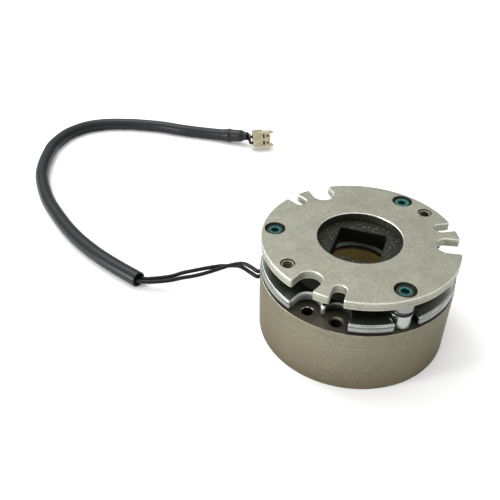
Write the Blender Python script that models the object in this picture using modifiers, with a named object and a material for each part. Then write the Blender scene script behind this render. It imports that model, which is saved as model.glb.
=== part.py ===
"""Spring applied brake: a coil in a steel yoke, a spring loaded armature, a friction rotor and a side plate.

Everything is in metres. The yoke's bottom face is z = 0 and the shaft axis is +Z. The first mounting notch of the
side plate is on +X, and angles run anticlockwise from it. The pattern of notches, slots and spacers repeats three
times round the axis.
"""

import math

import bmesh
import bpy
from mathutils import Matrix, Vector

# Pattern that the yoke, the armature and the side plate share
PATTERN_COPIES = 3
PITCH_RADIUS = 0.0225
MOUNT_ANGLE = 0.0
SLOT_ANGLE = 20.0
SPACER_ANGLE = 60.0
RELEASE_ANGLES = (40.0, 220.0)

# Clearances
SEAT_GAP = 0.0002
AIR_GAP = 0.0006
FACE_GAP = 0.0003
FIT_GAP = 0.0003

# Stator yoke
YOKE_RIM = 0.0037
YOKE_HEIGHT = 0.0191
YOKE_CHAMFER = 0.00035
INNER_POLE_WALL = 0.0040
OUTER_POLE_WALL = 0.0024
COIL_SLOT_WIDTH = 0.0052
COIL_SLOT_DEPTH = 0.0130

# Holes in the yoke's face
MOUNT_HOLE_RADIUS = 0.0017
TAP_RADIUS = 0.00128
TAP_MOUTH_RADIUS = 0.00185
TAP_DEPTH = 0.0075
MOUTH_CHAMFER = 0.00025
THREAD_HOLE_DEPTH = 0.0085

# Coil
BOBBIN_WALL = 0.0007
POTTING_THICKNESS = 0.0008
POTTING_RECESS = 0.0002

# Torque springs in the yoke's outer pole
SPRING_ANGLES = (35.0, 90.0)
SPRING_POCKET_RADIUS = 0.0019
SPRING_POCKET_DEPTH = 0.0070
SPRING_WIRE = 0.00050
SPRING_TURNS = 4.5
SPRING_POINTS_PER_TURN = 8

# Armature plate
ARMATURE_RIM = 0.0035
ARMATURE_THICKNESS = 0.00275
SCALLOP_NOSE_INSET = 0.0003
ARMATURE_EDGE = 0.0005

# Friction rotor
ROTOR_THICKNESS = 0.00425
ROTOR_CLEARANCE = 0.0006
ROTOR_SQUARE = 0.0128
ROTOR_SQUARE_CORNER = 0.0007
ROTOR_TURN = -10.0
ROTOR_EDGE = 0.00025

# Side plate
PLATE_RIM = 0.0035
PLATE_THICKNESS = 0.0023
PLATE_BORE_RADIUS = 0.0112
PLATE_EDGE = 0.00028
MOUNT_NOTCH_HALF = 0.00305
PLATE_SLOT_HALF = 0.0017
NOTCH_CORNER = 0.00055
RELEASE_TAP_RADIUS = 0.00128
COUNTERSINK_RADIUS = 0.0028
SCREW_CLEARANCE_RADIUS = 0.0017

# Spacers and their countersunk screws
SPACER_RADIUS = 0.0029
SPACER_GROOVE_RADIUS = 0.0021
SPACER_GROOVE_WIDTH = 0.0013
SPACER_GROOVE_HEIGHT = 0.0042
SPACER_EDGE = 0.0002
SPACER_NOTCH_GAP = 0.00035
SCREW_RADIUS = 0.0014
SCREW_ENGAGEMENT = 0.0072
SCREW_HEAD_SINK = 0.00045
SCREW_HEAD_LAND = 0.00015
HEX_FLATS = 0.0020
HEX_DEPTH = 0.0010

# Lead outlet in the yoke's wall
LEAD_ANGLE = 168.0
LEAD_RISE = 0.0034
LEAD_HOLE_RADIUS = 0.0025
BUSH_RECESS = 0.0003
BUSH_EDGE = 0.0003

# Cable
WIRE_DIAMETER = 0.00125
WIRE_SPREAD = 0.0008
SLEEVE_DIAMETER = 0.0049
SHRINK_DIAMETER = 0.0053
SHRINK_LENGTH = 0.0106
SHRINK_TAPER = 0.0016
SHRINK_NECK = 0.0016
CORD_POINT_STEP = 2.0

# Two way connector on the cable's end
HOUSING_LENGTH = 0.0084
HOUSING_WIDTH = 0.0064
HOUSING_THICKNESS = 0.0048
HOUSING_ROLL = 72.0
WAY_PITCH = 0.0029
CAVITY_SIDE = 0.0017
PRONG_LENGTH = 0.0013
PRONG_WIDTH = 0.0008
WINDOW_LENGTH = 0.0008
WINDOW_WIDTH = 0.0017
ROUND_HOLE_RADIUS = 0.0005
WINDOW_FROM_FRONT = 0.0040
ROUND_HOLE_FROM_FRONT = 0.0024
LATCH_RAIL_LENGTH = 0.0045
LATCH_RAIL_WIDTH = 0.0008
LATCH_RAIL_HEIGHT = 0.0005
TERMINAL_LENGTH = 0.0057

# Short wires from the shrink tube into the connector
TAIL_SPREAD = 0.0009
TAIL_LEAVING = 0.0004
TAIL_ENTRY = 0.0011
TAIL_INSET = 0.85

# Facets
ROUND_STEPS = 96
RING_STEPS = 40
SMALL_STEPS = 24
ARC_STEP = 5.0

YOKE_RADIUS = PITCH_RADIUS + YOKE_RIM
ARMATURE_RADIUS = PITCH_RADIUS + ARMATURE_RIM
PLATE_RADIUS = PITCH_RADIUS + PLATE_RIM
ROTOR_RADIUS = PITCH_RADIUS - SPACER_RADIUS - ROTOR_CLEARANCE
SLOT_OUTER_RADIUS = PITCH_RADIUS - SPRING_POCKET_RADIUS - OUTER_POLE_WALL
SLOT_INNER_RADIUS = SLOT_OUTER_RADIUS - COIL_SLOT_WIDTH
SHAFT_BORE_RADIUS = SLOT_INNER_RADIUS - INNER_POLE_WALL
SLOT_FLOOR = YOKE_HEIGHT - COIL_SLOT_DEPTH
LEAD_HEIGHT = SLOT_FLOOR + LEAD_RISE
ARMATURE_BOTTOM = YOKE_HEIGHT + AIR_GAP
ARMATURE_TOP = ARMATURE_BOTTOM + ARMATURE_THICKNESS
ROTOR_BOTTOM = ARMATURE_TOP + FACE_GAP
ROTOR_TOP = ROTOR_BOTTOM + ROTOR_THICKNESS
PLATE_BOTTOM = ROTOR_TOP + FACE_GAP
PLATE_TOP = PLATE_BOTTOM + PLATE_THICKNESS
ARMATURE_NOTCH_HALF = SPACER_RADIUS + SPACER_NOTCH_GAP
SPRING_RADIUS = SPRING_POCKET_RADIUS - FIT_GAP - SPRING_WIRE / 2

# Sleeve's route from its open mouth to the shrink tube, along the floor and up a little at its end
SLEEVE_ROUTE = (
    (-0.06518, 0.00345, 0.0025),
    (-0.07520, 0.00876, 0.0025),
    (-0.08418, 0.01424, 0.0025),
    (-0.09398, 0.02165, 0.0025),
    (-0.10389, 0.03118, 0.0025),
    (-0.11458, 0.04354, 0.0025),
    (-0.12439, 0.06006, 0.0025),
    (-0.12944, 0.07809, 0.0025),
    (-0.12969, 0.08651, 0.0025),
    (-0.12850, 0.09336, 0.0025),
    (-0.12567, 0.09875, 0.0025),
    (-0.12209, 0.10270, 0.0025),
    (-0.11668, 0.10558, 0.0025),
    (-0.11163, 0.10697, 0.0025),
    (-0.10639, 0.10775, 0.0025),
    (-0.10116, 0.10823, 0.0025),
    (-0.08976, 0.10795, 0.0025),
    (-0.07823, 0.10607, 0.0025),
    (-0.06680, 0.10500, 0.0025),
    (-0.05910, 0.10382, 0.0030),
)

# Shrink tube's far end, and the connector's middle and the way it points; both are a little off the floor
SHRINK_FAR_END = (-0.05032, 0.10233, 0.0040)
HOUSING_CENTRE = (-0.04205, 0.09990, 0.0046)
HOUSING_HEADING = 20.0

# Route between the two wires from the yoke to the sleeve's mouth, and the way to the first wire in spreads
WIRE_ROUTE = (
    ((-0.02640, 0.00550, 0.0094), (0.0, 0.0, 1.0)),
    ((-0.02790, 0.00465, 0.0091), (0.0, 0.2, 1.1)),
    ((-0.03020, 0.00620, 0.00905), (0.0, 0.3, 1.15)),
    ((-0.03250, 0.00780, 0.0089), (0.05, 0.05, 1.1)),
    ((-0.03460, 0.00860, 0.0085), (0.12, -0.55, 1.0)),
    ((-0.03770, 0.00860, 0.0077), (0.16, -0.90, 0.71)),
    ((-0.04040, 0.00820, 0.0070), (0.10, -1.12, 0.22)),
    ((-0.04410, 0.00725, 0.0061), (0.05, -0.97, -0.42)),
    ((-0.04780, 0.00625, 0.0053), (0.05, -0.80, -0.72)),
    ((-0.05160, 0.00542, 0.0045), (0.05, -0.85, -0.55)),
    ((-0.05520, 0.00416, 0.0038), (0.0, -0.97, -0.25)),
    ((-0.06110, 0.00331, 0.0029), (-0.1, -0.99, -0.05)),
    ((-0.06505, 0.00345, 0.0026), (-0.46, -0.89, 0.0)),
)


def clear_scene():
    for item in list(bpy.data.objects):
        bpy.data.objects.remove(item, do_unlink=True)


def new_collection(name):
    group = bpy.data.collections.new(name)
    bpy.context.scene.collection.children.link(group)
    return group


def make_material(name, colour, roughness, metallic=0.0):
    material = bpy.data.materials.new(name)
    material.use_nodes = True
    shader = material.node_tree.nodes["Principled BSDF"]
    shader.inputs["Base Color"].default_value = (*colour, 1.0)
    shader.inputs["Roughness"].default_value = roughness
    shader.inputs["Metallic"].default_value = metallic
    material.diffuse_color = (*colour, 1.0)
    return material


def add_piece(name, data, material):
    """Puts a mesh or a curve into the brake's own collection with its material."""
    piece = bpy.data.objects.new(name, data)
    data.materials.append(material)
    PARTS.objects.link(piece)
    return piece


def around(angle, radius=0.0, height=0.0):
    """A place turned by angle about the shaft axis, with its local X pointing outwards."""
    return Matrix.Rotation(math.radians(angle), 4, "Z") @ Matrix.Translation((radius, 0.0, height))


def copies_of(angle):
    return [angle + 360.0 / PATTERN_COPIES * copy for copy in range(PATTERN_COPIES)]


def arc(centre, radius, start, end, step=ARC_STEP):
    """Points of an arc in the XY plane from the start angle to the end angle, in degrees."""
    count = max(1, math.ceil(abs(end - start) / step))
    angles = [math.radians(start + (end - start) * k / count) for k in range(count + 1)]
    return [Vector((centre[0] + radius * math.cos(a), centre[1] + radius * math.sin(a))) for a in angles]


def heading(vector):
    return math.degrees(math.atan2(vector[1], vector[0]))


def turned(name, profile, material, steps, place=None):
    """A ring or a rod turned from a profile of (radius, height) points that runs down its outer side."""
    mesh = bpy.data.meshes.new(name)
    count = len(profile)
    edges = [(k, (k + 1) % count) for k in range(count)]
    if profile[0][0] == 0.0 and profile[-1][0] == 0.0:
        edges.pop()
    mesh.from_pydata([(radius, 0.0, height) for radius, height in profile], edges, [])
    piece = add_piece(name, mesh, material)
    screw = piece.modifiers.new("Turn", "SCREW")
    screw.axis = "Z"
    screw.angle = math.tau
    screw.steps = steps
    screw.render_steps = steps
    screw.use_merge_vertices = True
    screw.merge_threshold = 0.00001
    screw.use_smooth_shade = True
    if place is not None:
        piece.matrix_world = place
    return piece


def cutter(name, sections, place, steps=SMALL_STEPS):
    """A hole cutter turned from (radius, height) sections, with flat ends, and hidden from the model.

    The turn starts half a step round, so that no corner of it lies on the pattern's own lines.
    """
    shape = bmesh.new()
    start = Matrix.Rotation(math.pi / steps, 3, "Z")
    corners = [shape.verts.new(start @ Vector((radius, 0.0, height))) for radius, height in sections]
    sides = [shape.edges.new(pair) for pair in zip(corners, corners[1:])]
    bmesh.ops.spin(
        shape,
        geom=corners + sides,
        cent=(0.0, 0.0, 0.0),
        axis=(0.0, 0.0, 1.0),
        angle=math.tau,
        steps=steps,
        use_merge=True,
    )
    bmesh.ops.holes_fill(shape, edges=shape.edges)
    bmesh.ops.recalc_face_normals(shape, faces=shape.faces)
    mesh = bpy.data.meshes.new(name)
    shape.to_mesh(mesh)
    shape.free()
    return hidden_tool(name, mesh, place)


def box_tool(name, size, place):
    return hidden_tool(name, box_mesh(name, size), place)


def box_mesh(name, size):
    mesh = bpy.data.meshes.new(name)
    box = bmesh.new()
    bmesh.ops.create_cube(box, size=1.0, matrix=Matrix.Diagonal((*size, 1.0)))
    box.to_mesh(mesh)
    box.free()
    return mesh


def hidden_tool(name, mesh, place):
    tool = bpy.data.objects.new(name, mesh)
    CUTTERS.objects.link(tool)
    tool.hide_render = True
    tool.display_type = "WIRE"
    tool.matrix_world = place
    return tool


def combine(piece, others, operation="DIFFERENCE"):
    for other in others:
        join = piece.modifiers.new(other.name, "BOOLEAN")
        join.operation = operation
        join.object = other


def flat_mesh(name, outlines, low, high, both_faces):
    """A flat plate between two heights; the first outline is its edge and the others are openings in it.

    The rim of its top face, or of both faces, gets the weight that the Bevel modifier rounds.
    """
    curve = bpy.data.curves.new(name, "CURVE")
    curve.dimensions = "2D"
    curve.fill_mode = "BOTH"
    curve.extrude = (high - low) / 2
    for outline in outlines:
        spline = curve.splines.new("POLY")
        spline.points.add(len(outline) - 1)
        for point, place in zip(spline.points, outline):
            point.co = (place[0], place[1], 0.0, 1.0)
        spline.use_cyclic_u = True
    guide = bpy.data.objects.new(name + "_outline", curve)
    CUTTERS.objects.link(guide)
    guide.location.z = (high + low) / 2
    bpy.context.view_layer.update()
    graph = bpy.context.evaluated_depsgraph_get()
    mesh = bpy.data.meshes.new_from_object(guide.evaluated_get(graph))
    mesh.name = name
    bpy.data.objects.remove(guide, do_unlink=True)
    shape = bmesh.new()
    shape.from_mesh(mesh)
    bmesh.ops.remove_doubles(shape, verts=shape.verts, dist=0.000002)
    bmesh.ops.dissolve_limit(
        shape,
        angle_limit=math.radians(0.5),
        verts=shape.verts,
        edges=shape.edges,
    )
    weight = shape.edges.layers.float.new("bevel_weight_edge")
    for edge in shape.edges:
        steepness = [abs(face.normal.z) for face in edge.link_faces]
        at_rim = max(steepness) - min(steepness) > 0.5
        on_top = min(corner.co.z for corner in edge.verts) > 0.0
        edge[weight] = float(at_rim and (on_top or both_faces))
    bmesh.ops.translate(shape, verts=shape.verts, vec=(0.0, 0.0, (high + low) / 2))
    shape.to_mesh(mesh)
    shape.free()
    return mesh


def flat_piece(name, outlines, low, high, material, edge, segments=1, both_faces=False):
    """A stamped plate whose outline is rounded on its top face, or on both."""
    piece = add_piece(name, flat_mesh(name, outlines, low, high, both_faces), material)
    bevel = piece.modifiers.new("Rounded edge", "BEVEL")
    bevel.limit_method = "WEIGHT"
    bevel.width = edge
    bevel.segments = segments
    bevel.use_clamp_overlap = False
    piece.data.shade_smooth()
    piece.data.set_sharp_from_angle(angle=math.radians(35))
    return piece


def notch(angle, half, rim, corner):
    """A U notch open to the rim: round end on the pitch circle, parallel walls and rounded rim corners."""
    reach = math.sqrt((rim - corner) ** 2 - (half + corner) ** 2)
    corner_centre = Vector((reach, -(half + corner)))
    entry = arc(corner_centre, corner, heading(corner_centre), 90.0, 22.5)
    bottom = arc((PITCH_RADIUS, 0.0), half, -90.0, -270.0, 15.0)
    leaving = [Vector((p[0], -p[1])) for p in reversed(entry)]
    return turned_points(entry + bottom + leaving, angle)


def double_scallop(angle, spread, half, rim, corner):
    """Two round scallops side by side, cut away between them outside a small round nose."""
    first_axis = -spread / 2
    level = PITCH_RADIUS * math.cos(math.radians(first_axis))
    offset = PITCH_RADIUS * math.sin(math.radians(-first_axis))
    first = Vector((level, -offset))
    tip = PITCH_RADIUS - SCALLOP_NOSE_INSET - level
    room = offset**2 + tip**2 - half**2
    nose_radius = max(0.0, room) / (2 * (half + tip))
    nose = Vector((level + tip - nose_radius, 0.0))
    if room <= 0.0:
        nose.x = level - math.sqrt(half**2 - offset**2)
    touch = heading(nose - first)
    local = Matrix.Rotation(math.radians(first_axis), 2)
    reach = math.sqrt((rim - corner) ** 2 - (half + corner) ** 2)
    corner_centre = Vector((reach, -(half + corner)))
    entry = [local @ p for p in arc(corner_centre, corner, heading(corner_centre), 90.0, 22.5)]
    side = entry + arc(first, half, first_axis - 90.0, touch - 360.0, 15.0)
    back = heading(first - nose)
    cap = arc(nose, nose_radius, back + 360.0, -back, 20.0)[1:-1]
    mirrored = [Vector((p[0], -p[1])) for p in reversed(side)]
    return turned_points(side + cap + mirrored, angle + spread / 2)


def turned_points(points, angle):
    turn = Matrix.Rotation(math.radians(angle), 2)
    return [turn @ Vector((p[0], p[1])) for p in points]


def rim_outline(radius, openings):
    """Joins the openings of a round plate with arcs of its rim, in order of angle."""
    outline = []
    for k, opening in enumerate(openings):
        following = openings[(k + 1) % len(openings)]
        start = heading(opening[-1])
        end = heading(following[0])
        while end < start:
            end += 360.0
        outline += opening + arc((0.0, 0.0), radius, start, end)[1:-1]
    return outline


def circle(radius, step=ARC_STEP):
    return arc((0.0, 0.0), radius, 0.0, 360.0, step)[:-1]


def rounded_square(side, corner, turn):
    """A square with rounded corners, turned about the shaft axis."""
    points = []
    inner = side / 2 - corner
    for quarter in range(4):
        points += turned_points(arc((inner, inner), corner, 0.0, 90.0, 22.5), 90.0 * quarter)
    return turned_points(points, turn)


def tube(name, points, diameter, material, resolution=2):
    """A wire or cord of round section along the points, with filled ends."""
    curve = bpy.data.curves.new(name, "CURVE")
    curve.dimensions = "3D"
    curve.bevel_depth = diameter / 2
    curve.bevel_resolution = resolution
    curve.use_fill_caps = True
    spline = curve.splines.new("POLY")
    spline.points.add(len(points) - 1)
    for point, place in zip(spline.points, points):
        point.co = (*place, 1.0)
    return add_piece(name, curve, material)


def smooth_route(anchors, spacing):
    """Evenly spaced points on a smooth curve through the anchors."""
    anchors = [Vector(a) for a in anchors]
    padded = [2 * anchors[0] - anchors[1], *anchors, 2 * anchors[-1] - anchors[-2]]
    fine = []
    for a, b, c, d in zip(padded, padded[1:], padded[2:], padded[3:]):
        for k in range(16):
            t = k / 16
            fine.append(
                0.5 * (2 * b + (c - a) * t + (2 * a - 5 * b + 4 * c - d) * t**2 + (3 * b - a - 3 * c + d) * t**3)
            )
    fine.append(anchors[-1])
    lengths = [0.0]
    for a, b in zip(fine, fine[1:]):
        lengths.append(lengths[-1] + (b - a).length)
    count = max(2, round(lengths[-1] / spacing))
    route = []
    k = 0
    for step in range(count + 1):
        want = lengths[-1] * step / count
        while k < len(fine) - 2 and lengths[k + 1] < want:
            k += 1
        share = (want - lengths[k]) / (lengths[k + 1] - lengths[k])
        route.append(fine[k].lerp(fine[k + 1], min(1.0, share)))
    return route


def shorten(points, start, end):
    """The points with the first and the last moved inwards by the given lengths."""
    first = (points[1] - points[0]).normalized() * start
    last = (points[-2] - points[-1]).normalized() * end
    return [points[0] + first, *points[1:-1], points[-1] + last]


def stator_yoke(steel):
    """Turned cup with a centre pole, a coil slot open to the armature and the holes of the pattern."""
    c = YOKE_CHAMFER
    profile = [
        (YOKE_RADIUS - c, YOKE_HEIGHT),
        (YOKE_RADIUS, YOKE_HEIGHT - c),
        (YOKE_RADIUS, c),
        (YOKE_RADIUS - c, 0.0),
        (SHAFT_BORE_RADIUS + c, 0.0),
        (SHAFT_BORE_RADIUS, c),
        (SHAFT_BORE_RADIUS, YOKE_HEIGHT - c),
        (SHAFT_BORE_RADIUS + c, YOKE_HEIGHT),
        (SLOT_INNER_RADIUS, YOKE_HEIGHT),
        (SLOT_INNER_RADIUS, SLOT_FLOOR),
        (SLOT_OUTER_RADIUS, SLOT_FLOOR),
        (SLOT_OUTER_RADIUS, YOKE_HEIGHT),
    ]
    yoke = turned("stator_yoke", profile, steel, ROUND_STEPS)
    clear = YOKE_HEIGHT + 0.001
    tools = []
    for angle in copies_of(MOUNT_ANGLE):
        mouth = [(MOUNT_HOLE_RADIUS + MOUTH_CHAMFER, clear), (MOUNT_HOLE_RADIUS + MOUTH_CHAMFER, YOKE_HEIGHT)]
        hole = [(MOUNT_HOLE_RADIUS, YOKE_HEIGHT - MOUTH_CHAMFER), (MOUNT_HOLE_RADIUS, -0.001)]
        tools.append(cutter("mounting_hole", mouth + hole, around(angle, PITCH_RADIUS)))
    for angle in copies_of(SLOT_ANGLE):
        sink = TAP_MOUTH_RADIUS - TAP_RADIUS
        mouth = [(TAP_MOUTH_RADIUS, clear), (TAP_MOUTH_RADIUS, YOKE_HEIGHT), (TAP_RADIUS, YOKE_HEIGHT - sink)]
        hole = [(TAP_RADIUS, YOKE_HEIGHT - TAP_DEPTH)]
        tools.append(cutter("tapped_hole", mouth + hole, around(angle, PITCH_RADIUS)))
    thread = SCREW_RADIUS + SEAT_GAP
    for angle in copies_of(SPACER_ANGLE):
        hole = [(thread, clear), (thread, YOKE_HEIGHT - THREAD_HOLE_DEPTH)]
        tools.append(cutter("spacer_screw_hole", hole, around(angle, PITCH_RADIUS)))
    for angle in spring_places():
        pocket = [(SPRING_POCKET_RADIUS, clear), (SPRING_POCKET_RADIUS, YOKE_HEIGHT - SPRING_POCKET_DEPTH)]
        tools.append(cutter("spring_pocket", pocket, around(angle, PITCH_RADIUS)))
    depth = [(LEAD_HOLE_RADIUS, 0.001), (LEAD_HOLE_RADIUS, SLOT_OUTER_RADIUS - YOKE_RADIUS - 0.0005)]
    tools.append(cutter("lead_hole", depth, lead_place(YOKE_RADIUS)))
    combine(yoke, tools)
    return yoke


def spring_places():
    return [place for angle in SPRING_ANGLES for place in copies_of(angle)]


def lead_place(radius):
    """The lead outlet's place on the yoke's wall, with local Z pointing outwards."""
    return around(LEAD_ANGLE, radius, LEAD_HEIGHT) @ Matrix.Rotation(math.pi / 2, 4, "Y")


def coil(plastic, copper, resin):
    """The moulded bobbin, the winding on it and the potting ring that closes the slot."""
    inner = SLOT_INNER_RADIUS + FIT_GAP
    outer = SLOT_OUTER_RADIUS - FIT_GAP
    low = SLOT_FLOOR + FIT_GAP
    face = YOKE_HEIGHT - POTTING_RECESS
    back = face - POTTING_THICKNESS
    high = back - FIT_GAP
    core = inner + BOBBIN_WALL
    spool = [
        (outer, high),
        (outer, high - BOBBIN_WALL),
        (core, high - BOBBIN_WALL),
        (core, low + BOBBIN_WALL),
        (outer, low + BOBBIN_WALL),
        (outer, low),
        (inner, low),
        (inner, high),
    ]
    turned("coil_bobbin", spool, plastic, RING_STEPS)
    top = high - BOBBIN_WALL - FIT_GAP
    bottom = low + BOBBIN_WALL + FIT_GAP
    winding = [
        (outer - FIT_GAP, top),
        (outer - FIT_GAP, bottom),
        (core + FIT_GAP, bottom),
        (core + FIT_GAP, top),
    ]
    turned("coil_winding", winding, copper, RING_STEPS)
    potting = [
        (outer, face),
        (outer, back),
        (inner, back),
        (inner, face),
    ]
    turned("coil_potting", potting, resin, RING_STEPS)


def torque_springs(steel):
    """Six compression springs in the yoke's pockets, just short of the armature."""
    low = YOKE_HEIGHT - SPRING_POCKET_DEPTH + FIT_GAP + SPRING_WIRE / 2
    high = ARMATURE_BOTTOM - FIT_GAP - SPRING_WIRE / 2
    count = round(SPRING_TURNS * SPRING_POINTS_PER_TURN)
    for number, angle in enumerate(spring_places(), start=1):
        points = []
        for k in range(count + 1):
            turn = math.tau * SPRING_TURNS * k / count
            rise = low + (high - low) * k / count
            points.append((SPRING_RADIUS * math.cos(turn), SPRING_RADIUS * math.sin(turn), rise))
        spring = tube(f"torque_spring_{number}", points, SPRING_WIRE, steel, resolution=1)
        spring.matrix_world = around(angle, PITCH_RADIUS)


def armature_plate(zinc):
    """Stamped ring with notches for the spacers and wide scalloped cut-outs at the mounting notches."""
    half = ARMATURE_NOTCH_HALF
    spread = SLOT_ANGLE - MOUNT_ANGLE
    openings = []
    for mount, spacer in zip(copies_of(MOUNT_ANGLE), copies_of(SPACER_ANGLE)):
        openings.append(double_scallop(mount, spread, half, ARMATURE_RADIUS, NOTCH_CORNER))
        openings.append(notch(spacer, half, ARMATURE_RADIUS, NOTCH_CORNER))
    outline = rim_outline(ARMATURE_RADIUS, openings)
    bore = circle(SHAFT_BORE_RADIUS)
    return flat_piece(
        "armature_plate", [outline, bore], ARMATURE_BOTTOM, ARMATURE_TOP, zinc, ARMATURE_EDGE, segments=2
    )


def friction_rotor(lining):
    """Moulded friction disc with a square bore for the shaft's hub."""
    square = rounded_square(ROTOR_SQUARE, ROTOR_SQUARE_CORNER, ROTOR_TURN)
    outlines = [circle(ROTOR_RADIUS), square]
    return flat_piece("friction_rotor", outlines, ROTOR_BOTTOM, ROTOR_TOP, lining, ROTOR_EDGE, both_faces=True)


def side_plate(steel):
    """Stamped plate with mounting notches, slots, tapped release holes and countersinks."""
    openings = []
    for mount, slot in zip(copies_of(MOUNT_ANGLE), copies_of(SLOT_ANGLE)):
        openings.append(notch(mount, MOUNT_NOTCH_HALF, PLATE_RADIUS, NOTCH_CORNER))
        openings.append(notch(slot, PLATE_SLOT_HALF, PLATE_RADIUS, NOTCH_CORNER))
    outline = rim_outline(PLATE_RADIUS, openings)
    plate = flat_piece(
        "side_plate", [outline, circle(PLATE_BORE_RADIUS)], PLATE_BOTTOM, PLATE_TOP, steel, PLATE_EDGE
    )
    below = PLATE_BOTTOM - 0.001
    above = PLATE_TOP + 0.001
    tools = []
    for angle in RELEASE_ANGLES:
        sink = TAP_MOUTH_RADIUS - RELEASE_TAP_RADIUS
        sections = [
            (TAP_MOUTH_RADIUS, above),
            (TAP_MOUTH_RADIUS, PLATE_TOP),
            (RELEASE_TAP_RADIUS, PLATE_TOP - sink),
            (RELEASE_TAP_RADIUS, below),
        ]
        tools.append(cutter("release_tap", sections, around(angle, PITCH_RADIUS)))
    for angle in copies_of(SPACER_ANGLE):
        sections = [
            (COUNTERSINK_RADIUS, above),
            (COUNTERSINK_RADIUS, PLATE_TOP),
            (SCREW_CLEARANCE_RADIUS, PLATE_TOP - (COUNTERSINK_RADIUS - SCREW_CLEARANCE_RADIUS)),
            (SCREW_CLEARANCE_RADIUS, below),
        ]
        tools.append(cutter("countersink", sections, around(angle, PITCH_RADIUS)))
    combine(plate, tools)
    return plate


def spacers(zinc):
    """Grooved tubular spacers that hold the side plate off the yoke."""
    low = YOKE_HEIGHT + SEAT_GAP
    high = PLATE_BOTTOM - SEAT_GAP
    e = SPACER_EDGE
    groove_low = YOKE_HEIGHT + SPACER_GROOVE_HEIGHT
    groove_high = groove_low + SPACER_GROOVE_WIDTH
    bore = SCREW_CLEARANCE_RADIUS
    profile = [
        (SPACER_RADIUS - e, high),
        (SPACER_RADIUS, high - e),
        (SPACER_RADIUS, groove_high),
        (SPACER_GROOVE_RADIUS, groove_high),
        (SPACER_GROOVE_RADIUS, groove_low),
        (SPACER_RADIUS, groove_low),
        (SPACER_RADIUS, low + e),
        (SPACER_RADIUS - e, low),
        (bore, low),
        (bore, high),
    ]
    for number, angle in enumerate(copies_of(SPACER_ANGLE), start=1):
        turned(f"spacer_{number}", profile, zinc, SMALL_STEPS, around(angle, PITCH_RADIUS))


def spacer_screws(black_steel):
    """Countersunk socket screws through the side plate and the spacers into the yoke."""
    top = PLATE_TOP - SCREW_HEAD_SINK
    head = COUNTERSINK_RADIUS - SCREW_HEAD_SINK - SEAT_GAP
    land = top - SCREW_HEAD_LAND
    neck = land - (head - SCREW_RADIUS)
    tip = YOKE_HEIGHT - SCREW_ENGAGEMENT
    profile = [
        (0.0, top),
        (head, top),
        (head, land),
        (SCREW_RADIUS, neck),
        (SCREW_RADIUS, tip + SEAT_GAP),
        (SCREW_RADIUS - SEAT_GAP, tip),
        (0.0, tip),
    ]
    hex_radius = HEX_FLATS / 2 / math.cos(math.pi / 6)
    for number, angle in enumerate(copies_of(SPACER_ANGLE), start=1):
        screw = turned(f"spacer_screw_{number}", profile, black_steel, SMALL_STEPS, around(angle, PITCH_RADIUS))
        sections = [(hex_radius, PLATE_TOP), (hex_radius, top - HEX_DEPTH)]
        combine(screw, [cutter("hex_socket", sections, around(angle, PITCH_RADIUS), 6)])


def lead_bush(rubber):
    """Rubber bush that closes the lead hole, flush with the yoke's wall."""
    radius = LEAD_HOLE_RADIUS - FIT_GAP
    length = YOKE_RADIUS - BUSH_RECESS - SLOT_OUTER_RADIUS - FIT_GAP
    profile = [
        (0.0, 0.0),
        (radius - BUSH_EDGE, 0.0),
        (radius, -BUSH_EDGE),
        (radius, -length),
        (0.0, -length),
    ]
    turned("lead_bush", profile, rubber, SMALL_STEPS, lead_place(YOKE_RADIUS - BUSH_RECESS))


def cable(wire, sleeve, shrink):
    """Two wires from the bush into the sleeve, the sleeve on the floor and the shrink tube on its end."""
    outlet = lead_place(YOKE_RADIUS - BUSH_RECESS + 2 * FIT_GAP).to_translation()
    for number, side in ((1, 1.0), (2, -1.0)):
        start = outlet + Vector((0.0, 0.0, side * WIRE_SPREAD))
        anchors = [start]
        for place, way in WIRE_ROUTE:
            anchors.append(Vector(place) + Vector(way) * WIRE_SPREAD * side)
        route = smooth_route(anchors, WIRE_DIAMETER * CORD_POINT_STEP)
        tube(f"lead_wire_{number}", route, WIRE_DIAMETER, wire)
    route = smooth_route(SLEEVE_ROUTE, SLEEVE_DIAMETER * CORD_POINT_STEP)
    tube("lead_sleeve", shorten(route, FIT_GAP, FIT_GAP), SLEEVE_DIAMETER, sleeve)
    near = Vector(SLEEVE_ROUTE[-1])
    way = (Vector(SHRINK_FAR_END) - near).normalized()
    radius = SHRINK_DIAMETER / 2
    neck = TAIL_SPREAD + WIRE_DIAMETER / 2 + SEAT_GAP
    profile = [
        (0.0, SHRINK_LENGTH),
        (neck, SHRINK_LENGTH),
        (neck, SHRINK_LENGTH - SHRINK_NECK),
        (radius, SHRINK_LENGTH - SHRINK_NECK - SHRINK_TAPER),
        (radius, 0.0),
        (0.0, 0.0),
    ]
    place = Matrix.Translation(near) @ way.to_track_quat("Z", "Y").to_matrix().to_4x4()
    turned("shrink_tube", profile, shrink, SMALL_STEPS, place)
    return near + way * SHRINK_LENGTH, way


def housing_place():
    """The connector's place, with its wide face rolled up from the floor."""
    turn = Matrix.Rotation(math.radians(HOUSING_HEADING), 4, "Z")
    lean = Matrix.Rotation(math.radians(HOUSING_ROLL), 4, "X")
    return Matrix.Translation(HOUSING_CENTRE) @ turn @ lean


def way_places():
    return [(1, WAY_PITCH / 2), (2, -WAY_PITCH / 2)]


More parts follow.
